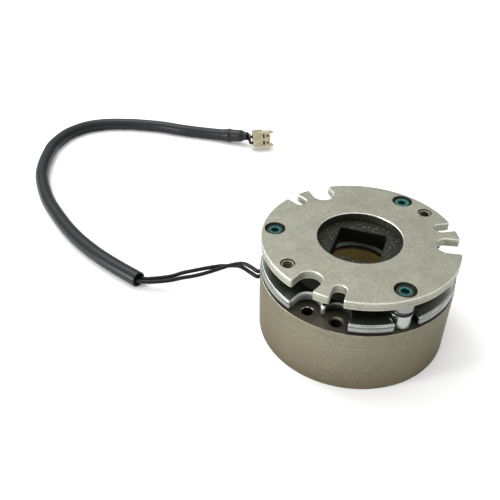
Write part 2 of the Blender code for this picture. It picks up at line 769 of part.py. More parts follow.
def connector(plastic, tin, wire, shrink_end, way):
    """Two way crimp housing with its terminals and the short wires into it; local X points to its front."""
    place = housing_place()
    size = (HOUSING_LENGTH, HOUSING_WIDTH, HOUSING_THICKNESS)
    housing = add_piece("connector_housing", box_mesh("connector_housing", size), plastic)
    housing.matrix_world = place
    front = HOUSING_LENGTH / 2
    mouth = (PRONG_LENGTH * 2, HOUSING_WIDTH - 2 * PRONG_WIDTH, HOUSING_THICKNESS * 2)
    tools = [box_tool("front_mouth", mouth, place @ Matrix.Translation((front, 0.0, 0.0)))]
    above = HOUSING_THICKNESS / 2
    for number, across in way_places():
        bore = (HOUSING_LENGTH * 2, CAVITY_SIDE, CAVITY_SIDE)
        tools.append(box_tool("cavity", bore, place @ Matrix.Translation((0.0, across, 0.0))))
        window = (WINDOW_LENGTH, WINDOW_WIDTH, HOUSING_THICKNESS)
        at_window = place @ Matrix.Translation((front - WINDOW_FROM_FRONT, across, above))
        tools.append(box_tool("window", window, at_window))
        hole = [(ROUND_HOLE_RADIUS, HOUSING_THICKNESS), (ROUND_HOLE_RADIUS, 0.0)]
        at_hole = place @ Matrix.Translation((front - ROUND_HOLE_FROM_FRONT, across, 0.0))
        tools.append(cutter("probe_hole", hole, at_hole, 12))
    combine(housing, tools)
    rail_size = (LATCH_RAIL_LENGTH, LATCH_RAIL_HEIGHT * 2, LATCH_RAIL_WIDTH)
    rail_place = Matrix.Translation(
        (LATCH_RAIL_LENGTH / 2 - front, HOUSING_WIDTH / 2, LATCH_RAIL_WIDTH / 2 - above)
    )
    combine(housing, [box_tool("latch_rail", rail_size, place @ rail_place)], "UNION")
    side = CAVITY_SIDE - 2 * FIT_GAP
    for number, across in way_places():
        name = f"connector_terminal_{number}"
        terminal = add_piece(name, box_mesh(name, (TERMINAL_LENGTH, side, side)), tin)
        terminal.matrix_world = place @ Matrix.Translation((0.0, across, 0.0))
        turn = place.to_3x3()
        ahead = turn @ Vector((1.0, 0.0, 0.0))
        sideways = turn @ Vector((0.0, across, 0.0))
        sideways -= way * sideways.dot(way)
        start = shrink_end + way * FIT_GAP + sideways.normalized() * TAIL_SPREAD
        rear = place @ Vector((-HOUSING_LENGTH / 2 - FIT_GAP, across * TAIL_INSET, 0.0))
        anchors = [start, start + way * TAIL_LEAVING, rear - ahead * TAIL_ENTRY, rear]
        route = smooth_route(anchors, WIRE_DIAMETER / 2)
        tube(f"connector_wire_{number}", route, WIRE_DIAMETER, wire)


def build():
    steel = make_material("yoke_steel", (0.36, 0.33, 0.27), 0.45, 0.9)
    plate_steel = make_material("plate_steel", (0.48, 0.47, 0.41), 0.55, 0.8)
    zinc = make_material("bright_zinc", (0.70, 0.73, 0.76), 0.25, 1.0)
    lining = make_material("friction_lining", (0.10, 0.10, 0.095), 0.9)
    black_steel = make_material("black_screw_steel", (0.03, 0.03, 0.03), 0.4, 0.6)
    spring_steel = make_material("spring_steel", (0.55, 0.55, 0.56), 0.3, 1.0)
    copper = make_material("copper_winding", (0.60, 0.27, 0.13), 0.35, 1.0)
    plastic = make_material("bobbin_plastic", (0.08, 0.08, 0.08), 0.6)
    resin = make_material("potting_resin", (0.20, 0.15, 0.05), 0.4)
    rubber = make_material("bush_rubber", (0.03, 0.03, 0.03), 0.7)
    wire = make_material("wire_insulation", (0.02, 0.02, 0.02), 0.3)
    sleeve = make_material("sleeve_vinyl", (0.05, 0.06, 0.065), 0.45)
    shrink = make_material("shrink_tube", (0.05, 0.05, 0.05), 0.5)
    cream = make_material("connector_nylon", (0.72, 0.64, 0.50), 0.5)
    tin = make_material("terminal_tin", (0.35, 0.20, 0.08), 0.4, 0.8)
    stator_yoke(steel)
    coil(plastic, copper, resin)
    torque_springs(spring_steel)
    armature_plate(zinc)
    friction_rotor(lining)
    side_plate(plate_steel)
    spacers(zinc)
    spacer_screws(black_steel)
    lead_bush(rubber)
    shrink_end, way = cable(wire, sleeve, shrink)
    connector(cream, tin, wire, shrink_end, way)
    bpy.context.view_layer.update()


clear_scene()
PARTS = new_collection("spring_applied_brake")
CUTTERS = new_collection("cutters")
build()
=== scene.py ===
"""Looks of the spring applied brake: fine meshes, materials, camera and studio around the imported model.

Everything is in metres, in the model's own frame: the yoke stands on z = 0 and the shaft axis is +Z.
"""

import math

import bmesh
import bpy
from bpy.props import FloatProperty, FloatVectorProperty, IntProperty, PointerProperty
from bpy.types import Operator, Panel, PropertyGroup
from mathutils import Matrix, Vector


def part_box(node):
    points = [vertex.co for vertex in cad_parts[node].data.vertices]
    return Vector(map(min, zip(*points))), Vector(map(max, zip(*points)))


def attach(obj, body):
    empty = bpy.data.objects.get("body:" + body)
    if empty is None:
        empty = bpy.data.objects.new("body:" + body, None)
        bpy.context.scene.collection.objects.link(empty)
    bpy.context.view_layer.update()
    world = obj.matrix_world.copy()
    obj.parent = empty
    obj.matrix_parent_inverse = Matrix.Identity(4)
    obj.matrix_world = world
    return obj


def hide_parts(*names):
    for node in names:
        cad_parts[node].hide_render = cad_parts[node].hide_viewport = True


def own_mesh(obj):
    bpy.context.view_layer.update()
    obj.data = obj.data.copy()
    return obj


bl_info = {
    "name": "Spring applied brake",
    "version": (1, 0, 0),
    "blender": (4, 5, 0),
    "location": "3D View > Sidebar > Brake",
    "description": "Builds the dressed pieces of a spring applied brake around its model",
    "category": "Object",
}

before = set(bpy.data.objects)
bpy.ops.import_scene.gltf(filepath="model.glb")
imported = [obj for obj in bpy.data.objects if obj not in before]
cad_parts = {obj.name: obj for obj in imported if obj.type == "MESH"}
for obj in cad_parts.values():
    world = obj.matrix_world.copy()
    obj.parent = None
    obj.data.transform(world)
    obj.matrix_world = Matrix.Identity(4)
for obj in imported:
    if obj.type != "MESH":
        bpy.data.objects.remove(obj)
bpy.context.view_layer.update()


def heights(node):
    low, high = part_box(node)
    return low.z, high.z


# Heights and outer size of the model's nodes
YOKE_BASE, YOKE_TOP = heights("stator_yoke")
ARMATURE_BASE, ARMATURE_TOP = heights("armature_plate")
ROTOR_BASE, ROTOR_TOP = heights("friction_rotor")
PLATE_BASE, PLATE_TOP = heights("side_plate")
SCREW_TIP, SCREW_TOP = heights("spacer_screw_1")
SPACER_BASE, SPACER_TOP = heights("spacer_1")
YOKE_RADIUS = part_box("stator_yoke")[1].y

# Pattern of the notches, slots and spacers
COPIES = 3
PITCH_RADIUS = 0.0225
MOUNT_ANGLE = 0.0
SLOT_ANGLE = 20.0
SPACER_ANGLE = 60.0
RELEASE_ANGLES = (40.0, 220.0)
SPRING_ANGLES = (35.0, 90.0)

# Sizes of the dressed pieces, most of them shared with the model
ARMATURE_RADIUS = 0.0260
PLATE_RADIUS = 0.0260
ROTOR_RADIUS = 0.0190
SHAFT_BORE_RADIUS = 0.0090
SLOT_INNER_RADIUS = 0.0130
SLOT_OUTER_RADIUS = 0.0182
SLOT_FLOOR = 0.0061
MOUNT_HOLE_RADIUS = 0.0015
MOUNT_CHAMFER = 0.00012
MOUNT_NOTCH_HALF = 0.00305
ARMATURE_NOTCH_HALF = 0.00325
NOSE_INSET = 0.0003
NOSE_REACH = 0.0011
PLATE_SLOT_HALF = 0.0017
NOTCH_CORNER = 0.00055
PLATE_BORE_RADIUS = 0.0112
ROTOR_SQUARE = 0.0128
ROTOR_SQUARE_CORNER = 0.0007
ROTOR_TURN = -10.0
TAP_RADIUS = 0.00130
TAP_PITCH = 0.0005
RELEASE_TAP_RADIUS = 0.00138
RELEASE_TAP_PITCH = 0.0007
TAP_MOUTH_RADIUS = 0.00192
TAP_DEPTH = 0.0075
THREAD_DEPTH = 0.0002
THREAD_CREST = (0.12, 0.68)
SPRING_POCKET_RADIUS = 0.0019
SPRING_POCKET_DEPTH = 0.0070
SPRING_RADIUS = 0.00135
SPRING_WIRE = 0.0005
SPRING_TURNS = 6.0
SPRING_REST_TURNS = 0.6
COUNTERSINK_RADIUS = 0.0028
SCREW_CLEARANCE_RADIUS = 0.0017
SCREW_RADIUS = 0.0014
SCREW_HOLE_SPARE = 0.0012
SCREW_HEAD_RADIUS = 0.00215
SCREW_HEAD_LAND = 0.00015
HEX_FLATS = 0.0020
HEX_DEPTH = 0.0010
HEX_CHAMFER = 0.00012
PAINT_RADII = (0.00195, 0.0016, 0.00155)
SPACER_RADIUS = 0.0029
SPACER_GROOVE_RADIUS = 0.0021
SPACER_GROOVE = (0.0042, 0.0055)
LEAD_ANGLE = 168.0
LEAD_HEIGHT = 0.0095
LEAD_HOLE_RADIUS = 0.0025
LEAD_CHAMFER = 0.0002
LEAD_HOLE_SPARE = 0.0005
BUSH_RADIUS = 0.0022
BUSH_RECESS = 0.0003
BUSH_DEPTH = 0.0069
WIRE_IN_BUSH = 0.0012
WIRE_HOLE_ENDS = (0.001, -0.003)
WIRE_SPREAD = 0.0008
SHRINK_LENGTH = 0.0106
SHRINK_TAPER = 0.0016
SHRINK_NECK = 0.0016
TAIL_SPREAD = 0.0009
TAIL_ENTRY = 0.0011
TAIL_INSET = 0.85
TAIL_OVERLAP = 0.001
TAIL_START = 0.0014
TAIL_END = 0.0006
TAIL_SIDE = 0.53
HOUSING_SIZE = Vector((0.0084, 0.0064, 0.0048))
HOUSING_ROLL = 72.0
HOUSING_HEADING = 20.0
HOUSING_CENTRE = (-0.04205, 0.09990, 0.0046)
WAY_PITCH = 0.0029
WAYS = (WAY_PITCH / 2, -WAY_PITCH / 2)
WINDOW_FROM_FRONT = 0.0040
PROBE_FROM_FRONT = 0.0024
CAVITY_SIDE = 0.0017
MOUTH_DEPTH = 0.0026
MOUTH_RIM = 0.0008
WINDOW_SIZE = (0.0008, 0.0018)
PROBE_RADIUS = 0.0005
PRONG_CUT = (0.0046, 0.0011, 0.0007)
RAIL_SIZE = (0.0045, 0.0008, 0.0008)
TERMINALS = ("connector_terminal_1", "connector_terminal_2")

# Route of the sleeve's centreline, from the wires to the shrink tube
SLEEVE_ROUTE = (
    (-0.06518, 0.00345, 0.0025),
    (-0.07520, 0.00876, 0.0025),
    (-0.08418, 0.01424, 0.0025),
    (-0.09398, 0.02165, 0.0025),
    (-0.10389, 0.03118, 0.0025),
    (-0.11458, 0.04354, 0.0025),
    (-0.12439, 0.06006, 0.0025),
    (-0.12944, 0.07809, 0.0025),
    (-0.12969, 0.08651, 0.0025),
    (-0.12850, 0.09336, 0.0025),
    (-0.12567, 0.09875, 0.0025),
    (-0.12209, 0.10270, 0.0025),
    (-0.11668, 0.10558, 0.0025),
    (-0.11163, 0.10697, 0.0025),
    (-0.10639, 0.10775, 0.0025),
    (-0.10116, 0.10823, 0.0025),
    (-0.08976, 0.10795, 0.0025),
    (-0.07823, 0.10607, 0.0025),
    (-0.06680, 0.10500, 0.0025),
    (-0.05910, 0.10382, 0.0030),
)
SHRINK_FAR_END = (-0.05032, 0.10233, 0.0040)

# Route of the pair of wires: the middle of the pair, and the way from it to the first wire in spreads
WIRE_ROUTE = (
    ((-0.02640, 0.00550, 0.0094), (0.0, 0.0, 1.0)),
    ((-0.02790, 0.00465, 0.0091), (0.0, 0.2, 1.1)),
    ((-0.03020, 0.00620, 0.00905), (0.0, 0.3, 1.15)),
    ((-0.03250, 0.00780, 0.0089), (0.05, 0.05, 1.1)),
    ((-0.03460, 0.00860, 0.0085), (0.12, -0.55, 1.0)),
    ((-0.03770, 0.00860, 0.0077), (0.16, -0.90, 0.71)),
    ((-0.04040, 0.00820, 0.0070), (0.10, -1.12, 0.22)),
    ((-0.04410, 0.00725, 0.0061), (0.05, -0.97, -0.42)),
    ((-0.04780, 0.00625, 0.0053), (0.05, -0.80, -0.72)),
    ((-0.05160, 0.00542, 0.0045), (0.05, -0.85, -0.55)),
    ((-0.05520, 0.00416, 0.0038), (0.0, -0.97, -0.25)),
    ((-0.06110, 0.00331, 0.0029), (-0.1, -0.99, -0.05)),
    ((-0.06505, 0.00345, 0.0026), (-0.46, -0.89, 0.0)),
    ((-0.06980, 0.00560, 0.0025), (-0.46, -0.89, 0.0)),
)

# The photograph's viewpoint
CAMERA_PLACE = (-0.00546, -0.13026, 0.12213)
CAMERA_AXES = (
    (0.98400, 0.17815, -0.00307),
    (-0.10551, 0.59649, 0.79566),
    (0.14358, -0.78260, 0.60574),
)
CAMERA_LENS = 43.13
CAMERA_SENSOR = 36.0

# Brightness of the surroundings: factors at the left and the right, and levels by height
SKY_SIDES = (1.10, 0.86)
SKY_LEVELS = ((0.0, 0.36), (0.30, 0.45), (0.52, 0.75), (0.66, 1.45), (1.0, 1.50))

# Each light's name, place, aim, size and share of the key light's power
LIGHTS = (
    ("key_light", (-0.35, 0.30, 0.62), (-0.03, 0.02, 0.0), 0.36, 1.0),
    ("side_light", (-0.46, -0.24, 0.12), (0.0, 0.0, 0.01), 0.10, 0.9),
)
FLOOR_SIZE = (16.0, 16.0, 0.001)
FLOOR_DROP = 0.00052

# Fineness of the dressed meshes
RIM_STEP = 1.5
CORNER_STEP = 10.0
NOTCH_STEP = 6.0
ROUND_STEPS = 192
HOLE_STEPS = 48
SINK_STEPS = 64
SMALL_HOLE_STEPS = 32
ROUTE_STEPS = 16
SPRING_TURN_STEPS = 20
WIRE_SPACING = 0.0005
TAIL_SPACING = 0.0004
SLEEVE_SPACING = 0.0012
SPLIT_ANGLE = 35.0
TUBE_SPLIT = 60.0

# How far a cutter stands out, how far outside its hole a face is painted, and what slopes upwards
CLEAR = 0.001
MARGIN = 0.0001
UPWARD = 0.02


# Materials


def feed(tree, socket, value):
    """Sets a socket, or links an output to it."""
    if isinstance(value, bpy.types.NodeSocket):
        tree.links.new(value, socket)
    else:
        socket.default_value = value


def add_node(tree, kind, inputs=None, **options):
    """Adds a shader node with its options and its inputs, each a value or an output."""
    node = tree.nodes.new("ShaderNode" + kind)
    for name, value in options.items():
        setattr(node, name, value)
    for socket, value in (inputs or {}).items():
        feed(tree, node.inputs[socket], value)
    return node


def add_ramp(tree, factor, stops):
    """Adds a ramp of (position, grey or colour) stops."""
    node = add_node(tree, "ValToRGB", {"Fac": factor})
    elements = node.color_ramp.elements
    while len(elements) < len(stops):
        elements.new(0.5)
    for element, (position, value) in zip(elements, stops):
        element.position = position
        element.color = (*value, 1.0) if isinstance(value, tuple) else (value, value, value, 1.0)
    return node.outputs["Color"]


class Recipe:
    """One Principled material made of nodes in object coordinates."""

    def __init__(self, name, colour, roughness, metallic=0.0):
        self.material = bpy.data.materials.new(name)
        self.material.use_nodes = True
        self.tree = self.material.node_tree
        self.shader = self.tree.nodes["Principled BSDF"]
        self.place = self.node("TexCoord").outputs["Object"]
        self.colour = (*colour, 1.0)
        self.give("Base Color", self.colour)
        self.give("Roughness", roughness)
        self.give("Metallic", metallic)

    def node(self, kind, inputs=None, **options):
        return add_node(self.tree, kind, inputs, **options)

    def give(self, socket, value):
        feed(self.tree, self.shader.inputs[socket], value)

    def noise(self, scale, detail=4.0, stretch=(1.0, 1.0, 1.0)):
        mapping = self.node("Mapping", {"Vector": self.place, "Scale": stretch})
        inputs = {"Vector": mapping.outputs["Vector"], "Scale": scale, "Detail": detail}
        return self.node("TexNoise", inputs).outputs[0]

    def specks(self, scale):
        return self.node("TexVoronoi", {"Vector": self.place, "Scale": scale}).outputs["Distance"]

    def span(self, value, low, high):
        """How far a value lies from low to high, as a share."""
        return self.node("MapRange", {"Value": value, "From Min": low, "From Max": high}).outputs[0]

    def height(self, low, high):
        """How far up a point lies, as a share between two heights."""
        return self.span(self.node("SeparateXYZ", {0: self.place}).outputs["Z"], low, high)

    def radius(self, low, high):
        """How far a point lies from the shaft axis, as a share between two radii."""
        flat = self.node("VectorMath", {0: self.place, 1: (1.0, 1.0, 0.0)}, operation="MULTIPLY")
        reach = self.node("VectorMath", {0: flat.outputs[0]}, operation="LENGTH")
        return self.span(reach.outputs["Value"], low, high)

    def tint(self, factor, value, blend="MIX"):
        """Blends the colour so far with a colour or an output, by the factor."""
        if isinstance(value, tuple):
            value = (*value, 1.0)
        inputs = {0: factor, 6: self.colour, 7: value}
        self.colour = self.node("Mix", inputs, data_type="RGBA", blend_type=blend).outputs[2]
        self.give("Base Color", self.colour)

    def spots(self, field, stops, colour):
        """Paints a colour over the one so far, as far as a ramp of the field says."""
        self.tint(add_ramp(self.tree, field, stops), colour)

    def bands(self, field, stops):
        """Multiplies the colour so far by a ramp of the field."""
        self.tint(1.0, add_ramp(self.tree, field, stops), "MULTIPLY")

    def grain(self, scale, low, high, detail=4.0, stretch=(1.0, 1.0, 1.0)):
        """Multiplies the colour by a grey mottling between two levels."""
        field = self.noise(scale, detail, stretch)
        self.bands(field, [(0.35, low), (0.65, high)])
        return field

    def rough(self, field, low, high):
        """Lets the roughness follow a field, between two levels."""
        self.give("Roughness", add_ramp(self.tree, field, [(0.35, low), (0.65, high)]))

    def bump(self, field, depth, strength=0.5):
        node = self.node("Bump", {"Strength": strength, "Distance": depth, "Height": field})
        self.give("Normal", node.outputs["Normal"])


def shade(colour, factor):
    return tuple(min(1.0, channel * factor) for channel in colour)


def satin_steel(name, colour, roughness, metallic, clouds=1.0):
    """Matte finished steel with a fine mottling."""
    recipe = Recipe(name, colour, roughness, metallic)
    recipe.grain(160.0, 1.0 - 0.08 * clouds, 1.0 + 0.05 * clouds)
    recipe.grain(700.0, 1.0 - 0.07 * clouds, 1.0 + 0.06 * clouds)
    field = recipe.grain(2200.0, 0.84, 1.12, 6.0)
    recipe.rough(field, roughness - 0.05, roughness + 0.05)
    recipe.bump(field, 0.00001, 0.3)
    return recipe


def bright_edge(name, colour, roughness=0.3):
    recipe = Recipe(name, colour, roughness, 0.9)
    field = recipe.grain(1500.0, 0.85, 1.05)
    recipe.rough(field, roughness - 0.05, roughness + 0.08)
    return recipe


def zinc_plating(name, colour, roughness=0.24):
    recipe = Recipe(name, colour, roughness, 1.0)
    field = recipe.grain(900.0, 0.93, 1.0, 5.0)
    recipe.rough(field, roughness - 0.05, roughness + 0.07)
    recipe.bump(field, 0.00001, 0.3)
    return recipe


def plain_plastic(name, colour, roughness, depth=0.00002):
    recipe = Recipe(name, colour, roughness)
    recipe.give("Specular IOR Level", 0.28)
    field = recipe.grain(1800.0, 0.92, 1.06, 5.0)
    recipe.rough(field, roughness - 0.05, roughness + 0.05)
    recipe.bump(field, depth, 0.35)
    return recipe


def repaint(recipe, *nodes):
    """Gives nodes of the frame a material of the scene."""
    for node in nodes:
        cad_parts[node].material_slots[0].material = recipe.material


# Shapes


def around(angle, radius=PITCH_RADIUS, height=0.0):
    """A place at an angle and a radius round the shaft axis, turned with the angle."""
    turn = Matrix.Rotation(math.radians(angle), 4, "Z")
    return turn @ Matrix.Translation((radius, 0.0, height))


def copies_of(angle):
    return [angle + 360.0 / COPIES * k for k in range(COPIES)]


def heading(vector):
    return math.degrees(math.atan2(vector[1], vector[0]))


def arc(centre, radius, start, end, step=RIM_STEP):
    count = max(1, math.ceil(abs(end - start) / step - 0.001))
    points = []
    for k in range(count + 1):
        angle = math.radians(start + (end - start) * k / count)
        points.append(Vector((centre[0] + radius * math.cos(angle), centre[1] + radius * math.sin(angle))))
    return points


def circle(radius):
    return arc((0.0, 0.0), radius, 0.0, 360.0)[:-1]


def turned_points(points, angle):
    turn = Matrix.Rotation(math.radians(angle), 2)
    return [turn @ Vector((p[0], p[1])) for p in points]


def mirrored(points):
    """The points across the X axis, in the order that carries the outline on."""
    return [Vector((p[0], -p[1])) for p in reversed(points)]


def rim_corner(half, rim):
    """The rounded corner between a round rim and a notch of a half width."""
    reach = math.sqrt((rim - NOTCH_CORNER) ** 2 - (half + NOTCH_CORNER) ** 2)
    corner = Vector((reach, -(half + NOTCH_CORNER)))
    return arc(corner, NOTCH_CORNER, heading(corner), 90.0, CORNER_STEP)


def notch(angle, half, rim):
    """A U notch open to the rim, with rounded rim corners."""
    entry = rim_corner(half, rim)
    bottom = arc((PITCH_RADIUS, 0.0), half, -90.0, -270.0, NOTCH_STEP)
    return turned_points(entry + bottom + mirrored(entry), angle)


def double_scallop(angle, spread, half, rim):
    """Two round scallops side by side, cut away between them outside a small round nose."""
    first_axis = -spread / 2
    level = PITCH_RADIUS * math.cos(math.radians(first_axis))
    offset = PITCH_RADIUS * math.sin(math.radians(-first_axis))
    first = Vector((level, -offset))
    tip = PITCH_RADIUS - NOSE_INSET - level
    nose_radius = (offset**2 + tip**2 - half**2) / (2 * (half + tip))
    nose = Vector((level + tip - nose_radius, 0.0))
    touch = heading(nose - first)
    entry = turned_points(rim_corner(half, rim), first_axis)
    side = entry + arc(first, half, first_axis - 90.0, touch - 360.0, NOTCH_STEP)
    back = heading(first - nose)
    cap = arc(nose, nose_radius, back, -back, CORNER_STEP)[1:-1]
    return turned_points(side + cap + mirrored(side), angle + spread / 2)


def rim_outline(radius, openings):
    """Joins the openings of a round plate, in order of angle, with arcs of its rim."""
    outline = []
    for k, opening in enumerate(openings):
        start = heading(opening[-1])
        end = heading(openings[(k + 1) % len(openings)][0])
        while end < start:
            end += 360.0
        outline += opening + arc((0.0, 0.0), radius, start, end)[1:-1]
    return outline


def rounded_square(side, corner, turn):
    points = []
    inner = side / 2 - corner
    for quarter in range(4):
        points += turned_points(arc((inner, inner), corner, 0.0, 90.0, CORNER_STEP), 90.0 * quarter)
    return turned_points(points, turn)


def filleted(corners, segments=3, closed=True):
    """A profile of (radius, height, rounding) corners with the rounding put in."""
    points = []
    last = len(corners) - 1
    for k, (x, y, size) in enumerate(corners):
        here = Vector((x, y))
        if size == 0.0 or (not closed and k in (0, last)):
            points.append(here)
            continue
        before = (Vector(corners[k - 1][:2]) - here).normalized() * size
        after = (Vector(corners[(k + 1) % len(corners)][:2]) - here).normalized() * size
        for step in range(segments + 1):
            t = step / segments
            points.append(here + before * (1 - t) ** 2 + after * t**2)
    return points


def made_mesh(shape):
    """Turns a bmesh into a mesh, which put names."""
    mesh = bpy.data.meshes.new("shape")
    shape.to_mesh(mesh)
    shape.free()
    return mesh


def lathe(profile, steps=HOLE_STEPS, closed=True):
    """A ring turned from (radius, height) points."""
    shape = bmesh.new()
    start = Matrix.Rotation(math.pi / steps, 3, "Z")
    corners = [shape.verts.new(start @ Vector((p[0], 0.0, p[1]))) for p in profile]
    pairs = list(zip(corners, corners[1:]))
    if closed:
        pairs.append((corners[-1], corners[0]))
    sides = [shape.edges.new(pair) for pair in pairs]
    bmesh.ops.spin(
        shape,
        geom=corners + sides,
        cent=(0.0, 0.0, 0.0),
        axis=(0.0, 0.0, 1.0),
        angle=math.tau,
        steps=steps,
        use_merge=True,
    )
    if not closed:
        bmesh.ops.holes_fill(shape, edges=shape.edges)
    bmesh.ops.recalc_face_normals(shape, faces=shape.faces)
    return made_mesh(shape)


def rod(profile, steps=HOLE_STEPS):
    """A rod turned from (radius, height) points, with flat ends."""
    return lathe(profile, steps, closed=False)


def box_mesh(size):
    box = bmesh.new()
    bmesh.ops.create_cube(box, size=1.0, matrix=Matrix.Diagonal((*size, 1.0)))
    return made_mesh(box)


def flat_mesh(outlines, low, high, both_faces=False):
    """A flat plate between two heights, with a weight for Bevel on its upper rims or on all."""
    curve = bpy.data.curves.new("outline", "CURVE")
    curve.dimensions = "2D"
    curve.fill_mode = "BOTH"
    curve.extrude = (high - low) / 2
    for outline in outlines:
        spline = curve.splines.new("POLY")
        spline.points.add(len(outline) - 1)
        for point, place in zip(spline.points, outline):
            point.co = (place[0], place[1], 0.0, 1.0)
        spline.use_cyclic_u = True
    guide = bpy.data.objects.new("outline", curve)
    bpy.context.scene.collection.objects.link(guide)
    mesh = evaluated_mesh(guide)
    bpy.data.objects.remove(guide, do_unlink=True)
    shape = bmesh.new()
    shape.from_mesh(mesh)
    bmesh.ops.remove_doubles(shape, verts=shape.verts, dist=0.000002)
    bmesh.ops.dissolve_limit(shape, angle_limit=math.radians(0.2), verts=shape.verts, edges=shape.edges)
    weight = shape.edges.layers.float.new("bevel_weight_edge")
    for edge in shape.edges:
        steepness = [abs(face.normal.z) for face in edge.link_faces]
        at_rim = max(steepness) - min(steepness) > 0.5
        on_top = min(corner.co.z for corner in edge.verts) > 0.0
        edge[weight] = float(at_rim and (on_top or both_faces))
    bmesh.ops.translate(shape, verts=shape.verts, vec=(0.0, 0.0, (high + low) / 2))
    shape.to_mesh(mesh)
    shape.free()
    return mesh


def evaluated_mesh(piece):
    """What a curve or a piece with modifiers makes."""
    bpy.context.view_layer.update()
    graph = bpy.context.evaluated_depsgraph_get()
    return bpy.data.meshes.new_from_object(piece.evaluated_get(graph))


def put(name, mesh, place=Matrix()):
    """Adds a mesh to the scene as a named piece."""
    mesh.name = name
    piece = bpy.data.objects.new(name, mesh)
    bpy.context.scene.collection.objects.link(piece)
    piece.matrix_world = place
    return piece


def tool(mesh, place):
    """A cutter, which goes again when the piece is finished."""
    return put("tool", mesh, place)


def drill(angle, sections, steps=HOLE_STEPS):
    """A turned cutter on the pitch circle."""
    return tool(rod(sections, steps), around(angle))


def bevel(piece, width, segments):
    edges = piece.modifiers.new("Edges", "BEVEL")
    edges.width = width
    edges.segments = segments
    return edges


def round_rims(piece, width, segments):
    """Rounds the edges that flat_mesh gave a weight."""
    rims = bevel(piece, width, segments)
    rims.limit_method = "WEIGHT"
    rims.use_clamp_overlap = False


def settle(piece):
    """Replaces the piece's mesh with what its modifiers make of it."""
    mesh = evaluated_mesh(piece)
    piece.modifiers.clear()
    piece.data = mesh
    mesh.name = piece.name


def finish_piece(piece, node, materials, tools=(), rule=None, split=SPLIT_ANGLE, body="stator"):
    """Cuts the tools out, paints each face as the rule says, and puts the piece in a node's place."""
    for other in tools:
        join = piece.modifiers.new(other.name, "BOOLEAN")
        join.operation = "DIFFERENCE"
        join.object = other
    settle(piece)
    for other in tools:
        bpy.data.objects.remove(other, do_unlink=True)
    mesh = piece.data
    mesh.materials.clear()
    for recipe in materials:
        mesh.materials.append(recipe.material)
    for face in mesh.polygons:
        face.material_index = materials.index(rule(face.center, face.normal)) if rule else 0
    mesh.shade_smooth()
    mesh.set_sharp_from_angle(angle=math.radians(split))
    even = piece.modifiers.new("Even shading", "WEIGHTED_NORMAL")
    even.keep_sharp = True
    settle(piece)
    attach(piece, body)
    if node:
        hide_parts(node)


def thread_sections(radius, pitch, top, bottom):
    """Sections of a tapped hole from its mouth down: each turn has a flank, a crest and a flank."""
    root = radius + THREAD_DEPTH
    level = top - (TAP_MOUTH_RADIUS - root)
    sections = [(TAP_MOUTH_RADIUS, top + CLEAR), (TAP_MOUTH_RADIUS, top), (root, level)]
    while level > bottom:
        sections += [(radius, level - pitch * part) for part in THREAD_CREST]
        level -= pitch
        sections.append((root, level))
    return sections


def smooth_route(anchors, spacing):
    """Evenly spaced points on a smooth curve through the anchors."""
    anchors = [Vector(a) for a in anchors]
    padded = [2 * anchors[0] - anchors[1], *anchors, 2 * anchors[-1] - anchors[-2]]
    fine = []
    for a, b, c, d in zip(padded, padded[1:], padded[2:], padded[3:]):
        for k in range(ROUTE_STEPS):
            t = k / ROUTE_STEPS
            line = 2 * b + (c - a) * t
            fine.append(0.5 * (line + (2 * a - 5 * b + 4 * c - d) * t**2 + (3 * b - a - 3 * c + d) * t**3))
    fine.append(anchors[-1])
    lengths = [0.0]
    for a, b in zip(fine, fine[1:]):
        lengths.append(lengths[-1] + (b - a).length)
    count = max(2, round(lengths[-1] / spacing))
    route = []
    k = 0
    for step in range(count + 1):
        want = lengths[-1] * step / count
        while k < len(fine) - 2 and lengths[k + 1] < want:
            k += 1
        share = (want - lengths[k]) / (lengths[k + 1] - lengths[k])
        route.append(fine[k].lerp(fine[k + 1], min(1.0, share)))
    return route


def hose(name, points, radius, inner=0.0, steps=28):
    """A round tube along the points, hollow where an inner radius is given."""
    shape = bmesh.new()
    side = None
    rings = {radius: [], inner: []}
    for k, point in enumerate(points):
        way = (points[min(k + 1, len(points) - 1)] - points[max(k - 1, 0)]).normalized()
        if side is None:
            side = way.cross(Vector((0.0, 0.0, 1.0))).normalized()
        side = (side - way * side.dot(way)).normalized()
        up = way.cross(side)
        for size, made in rings.items():
            if size == 0.0:
                continue
            ring = []
            for step in range(steps):
                angle = math.tau * step / steps
                ring.append(shape.verts.new(point + (side * math.cos(angle) + up * math.sin(angle)) * size))
            made.append(ring)
    loops = rings[radius]
    if inner > 0.0:
        loops = loops + list(reversed(rings[inner])) + loops[:1]
    for first, second in zip(loops, loops[1:]):
        for k in range(steps):
            n = (k + 1) % steps
            shape.faces.new((first[k], first[n], second[n], second[k]))
    if inner == 0.0:
        shape.faces.new(loops[0])
        shape.faces.new(loops[-1])
    bmesh.ops.recalc_face_normals(shape, faces=shape.faces)
    return put(name, made_mesh(shape))


def lead_place(radius):
    """The lead outlet's place on the yoke's wall, with local Z pointing outwards."""
    return around(LEAD_ANGLE, radius, LEAD_HEIGHT) @ Matrix.Rotation(math.pi / 2, 4, "Y")


def shrink_frame():
    """Start of the shrink tube and the way it points."""
    near_end = Vector(SLEEVE_ROUTE[-1])
    return near_end, (Vector(SHRINK_FAR_END) - near_end).normalized()


def near(centre, angles, reach):
    """Whether a point is within reach of a place of the pattern at one of the angles."""
    places = (around(angle).to_translation() for angle in angles)
    return any((centre - place).xy.length < reach for place in places)


# Settings


def length(name, description, default):
    return FloatProperty(
        name=name, description=description, default=default, min=0.0, unit="LENGTH", precision=5
    )


def tint(name, description, default):
    return FloatVectorProperty(
        name=name, description=description, default=default, size=3, min=0.0, max=1.0, subtype="COLOR"
    )


def share(name, description, default):
    return FloatProperty(
        name=name, description=description, default=default, min=0.0, max=1.0, subtype="FACTOR"
    )


